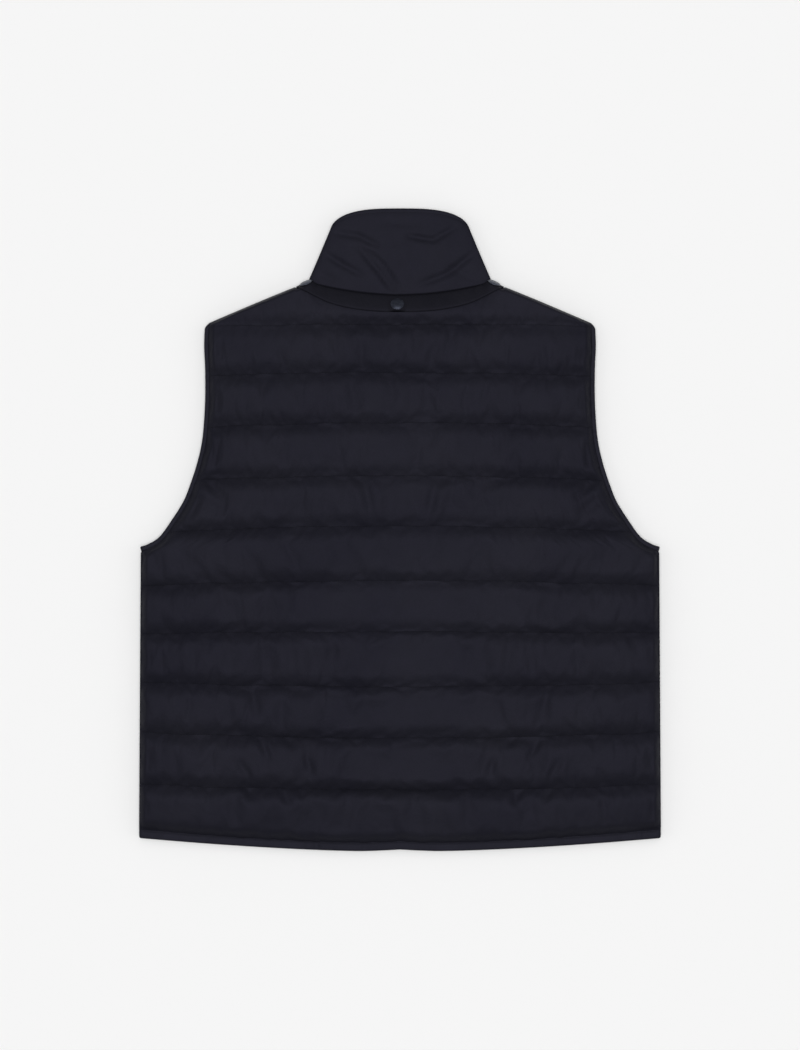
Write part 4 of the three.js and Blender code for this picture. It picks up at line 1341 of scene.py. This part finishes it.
def gunmetalMaterial():
    # stamped brass plated dark gunmetal and tumbled: cool, glossy, faintly scuffed
    material, tree, shader, place = newMaterial("gunmetal_plating")
    scuff = addNode(tree, "ShaderNodeTexNoise", {"Scale": noiseScale(2.2), "Detail": 6.0}, {"Vector": place})
    grain = addNode(tree, "ShaderNodeTexNoise", {"Scale": noiseScale(0.5), "Detail": 2.0}, {"Vector": place})
    tone = addNode(tree, "ShaderNodeValToRGB", links={"Fac": scuff.outputs["Fac"]})
    tone.color_ramp.elements[0].position = 0.35
    tone.color_ramp.elements[1].position = 0.7
    tone.color_ramp.elements[0].color = linearColour("#3b3e49")
    tone.color_ramp.elements[1].color = linearColour("#4b4f5c")
    tree.links.new(tone.outputs["Color"], shader.inputs["Base Color"])
    gloss = addNode(
        tree, "ShaderNodeMapRange", {"To Min": 0.32, "To Max": 0.42}, {"Value": scuff.outputs["Fac"]}
    )
    tree.links.new(gloss.outputs[0], shader.inputs["Roughness"])
    bump = addNode(tree, "ShaderNodeBump", {"Strength": 0.12, "Distance": 0.0001}, {"Height": grain.outputs["Fac"]})
    tree.links.new(bump.outputs[0], shader.inputs["Normal"])
    shader.inputs["Metallic"].default_value = 1.0
    return material


def acetalMaterial():
    # moulded acetal zip teeth: dark, satin, slightly grainy
    material, tree, shader, place = newMaterial("moulded_acetal")
    grain = addNode(tree, "ShaderNodeTexNoise", {"Scale": noiseScale(0.9), "Detail": 4.0}, {"Vector": place})
    tone = addNode(tree, "ShaderNodeValToRGB", links={"Fac": grain.outputs["Fac"]})
    tone.color_ramp.elements[0].color = linearColour("#15161b")
    tone.color_ramp.elements[1].color = linearColour("#20222a")
    tree.links.new(tone.outputs["Color"], shader.inputs["Base Color"])
    bump = addNode(tree, "ShaderNodeBump", {"Strength": 0.15, "Distance": 0.0001}, {"Height": grain.outputs["Fac"]})
    tree.links.new(bump.outputs[0], shader.inputs["Normal"])
    shader.inputs["Roughness"].default_value = 0.42
    return material


def dress(piece, material):
    piece.data.materials.clear()
    piece.data.materials.append(material)


polyesterThread = threadMaterial()
gunmetal = gunmetalMaterial()
acetal = acetalMaterial()
for piece in (backShell, frontLeft, frontRight, collarShell):
    dress(piece, downproofNylon)
# the bindings wear the nylon painted lighter (painted light), the strip the nylon painted darker (painted shade)
for piece in (armholeLeft, armholeRight, hemBand, neckStrip):
    dress(piece, stripNylonPaintedDarker if piece is neckStrip else bindingNylonPaintedLighter)
for piece in (quiltStitches, bindingStitches, collarStitches):
    dress(piece, polyesterThread)
for piece in (*snapCaps, slider, pullTab):
    dress(piece, gunmetal)
dress(teeth, acetal)
for node in ("zip_tape_left", "zip_tape_right"):
    dress(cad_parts[node], zipTape)
print("materials on")

# what each piece rides on

for piece in (
    backShell, frontLeft, frontRight, collarShell, armholeLeft, armholeRight, hemBand, neckStrip,
    quiltStitches, bindingStitches, collarStitches, *snapCaps, slider, teeth,
):
    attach(piece, "vest")
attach(pullTab, "pull")

# pale table under an even overhead light, with weaker ones from beyond the collar and from both sides

studio = {
    "floor": "#f0f0f0",
    "world": 0.27,
    "overhead": 2.093,
    "overheadSpread": 34,
    "beyond": 0.2,
    "beyondTilt": 33,
    "beyondSpread": 28,
    "sides": 0.2,
    "sidesTilt": 58,
    "sidesSpread": 40,
}


def addSun(name, strength, spread, tilt, towards):
    # leans from overhead by the tilt, towards that compass angle: 90 is the collar end
    data = bpy.data.lights.new(name, "SUN")
    data.energy = strength
    data.angle = math.radians(spread)
    lean, turn = math.radians(tilt), math.radians(towards)
    place = Vector((math.sin(lean) * math.cos(turn), math.sin(lean) * math.sin(turn), math.cos(lean)))
    lamp = bpy.data.objects.new(name, data)
    lamp.location = 2 * place
    lamp.rotation_euler = place.to_track_quat("Z", "Y").to_euler()
    bpy.context.collection.objects.link(lamp)


def addStudio():
    bpy.ops.object.select_all(action="DESELECT")
    bpy.ops.mesh.primitive_plane_add(size=12, location=(0, 0, -0.0004))
    floor = bpy.context.object
    floor.name = floor.data.name = "studio_floor"
    material, tree, shader, place = newMaterial("matt_paper_sweep")
    fibre = addNode(tree, "ShaderNodeTexNoise", {"Scale": noiseScale(3), "Detail": 3.0}, {"Vector": place})
    bump = addNode(tree, "ShaderNodeBump", {"Strength": 0.02, "Distance": 0.0002}, {"Height": fibre.outputs["Fac"]})
    tree.links.new(bump.outputs[0], shader.inputs["Normal"])
    shader.inputs["Base Color"].default_value = linearColour(studio["floor"])
    shader.inputs["Roughness"].default_value = 0.9
    shader.inputs["Specular IOR Level"].default_value = 0.0
    dress(floor, material)
    world = bpy.data.worlds.new("soft_room")
    bpy.context.scene.world = world
    world.use_nodes = True
    world.node_tree.nodes["Background"].inputs["Color"].default_value = (1, 1, 1, 1)
    world.node_tree.nodes["Background"].inputs["Strength"].default_value = studio["world"]
    addSun("overhead_light", studio["overhead"], studio["overheadSpread"], 0, 90)
    addSun("light_beyond_collar", studio["beyond"], studio["beyondSpread"], studio["beyondTilt"], 90)
    for name, towards in (("light_left", 180), ("light_right", 0)):
        addSun(name, studio["sides"], studio["sidesSpread"], studio["sidesTilt"], towards)


addStudio()
bpy.context.scene.view_settings.view_transform = "Standard"
print("studio set")
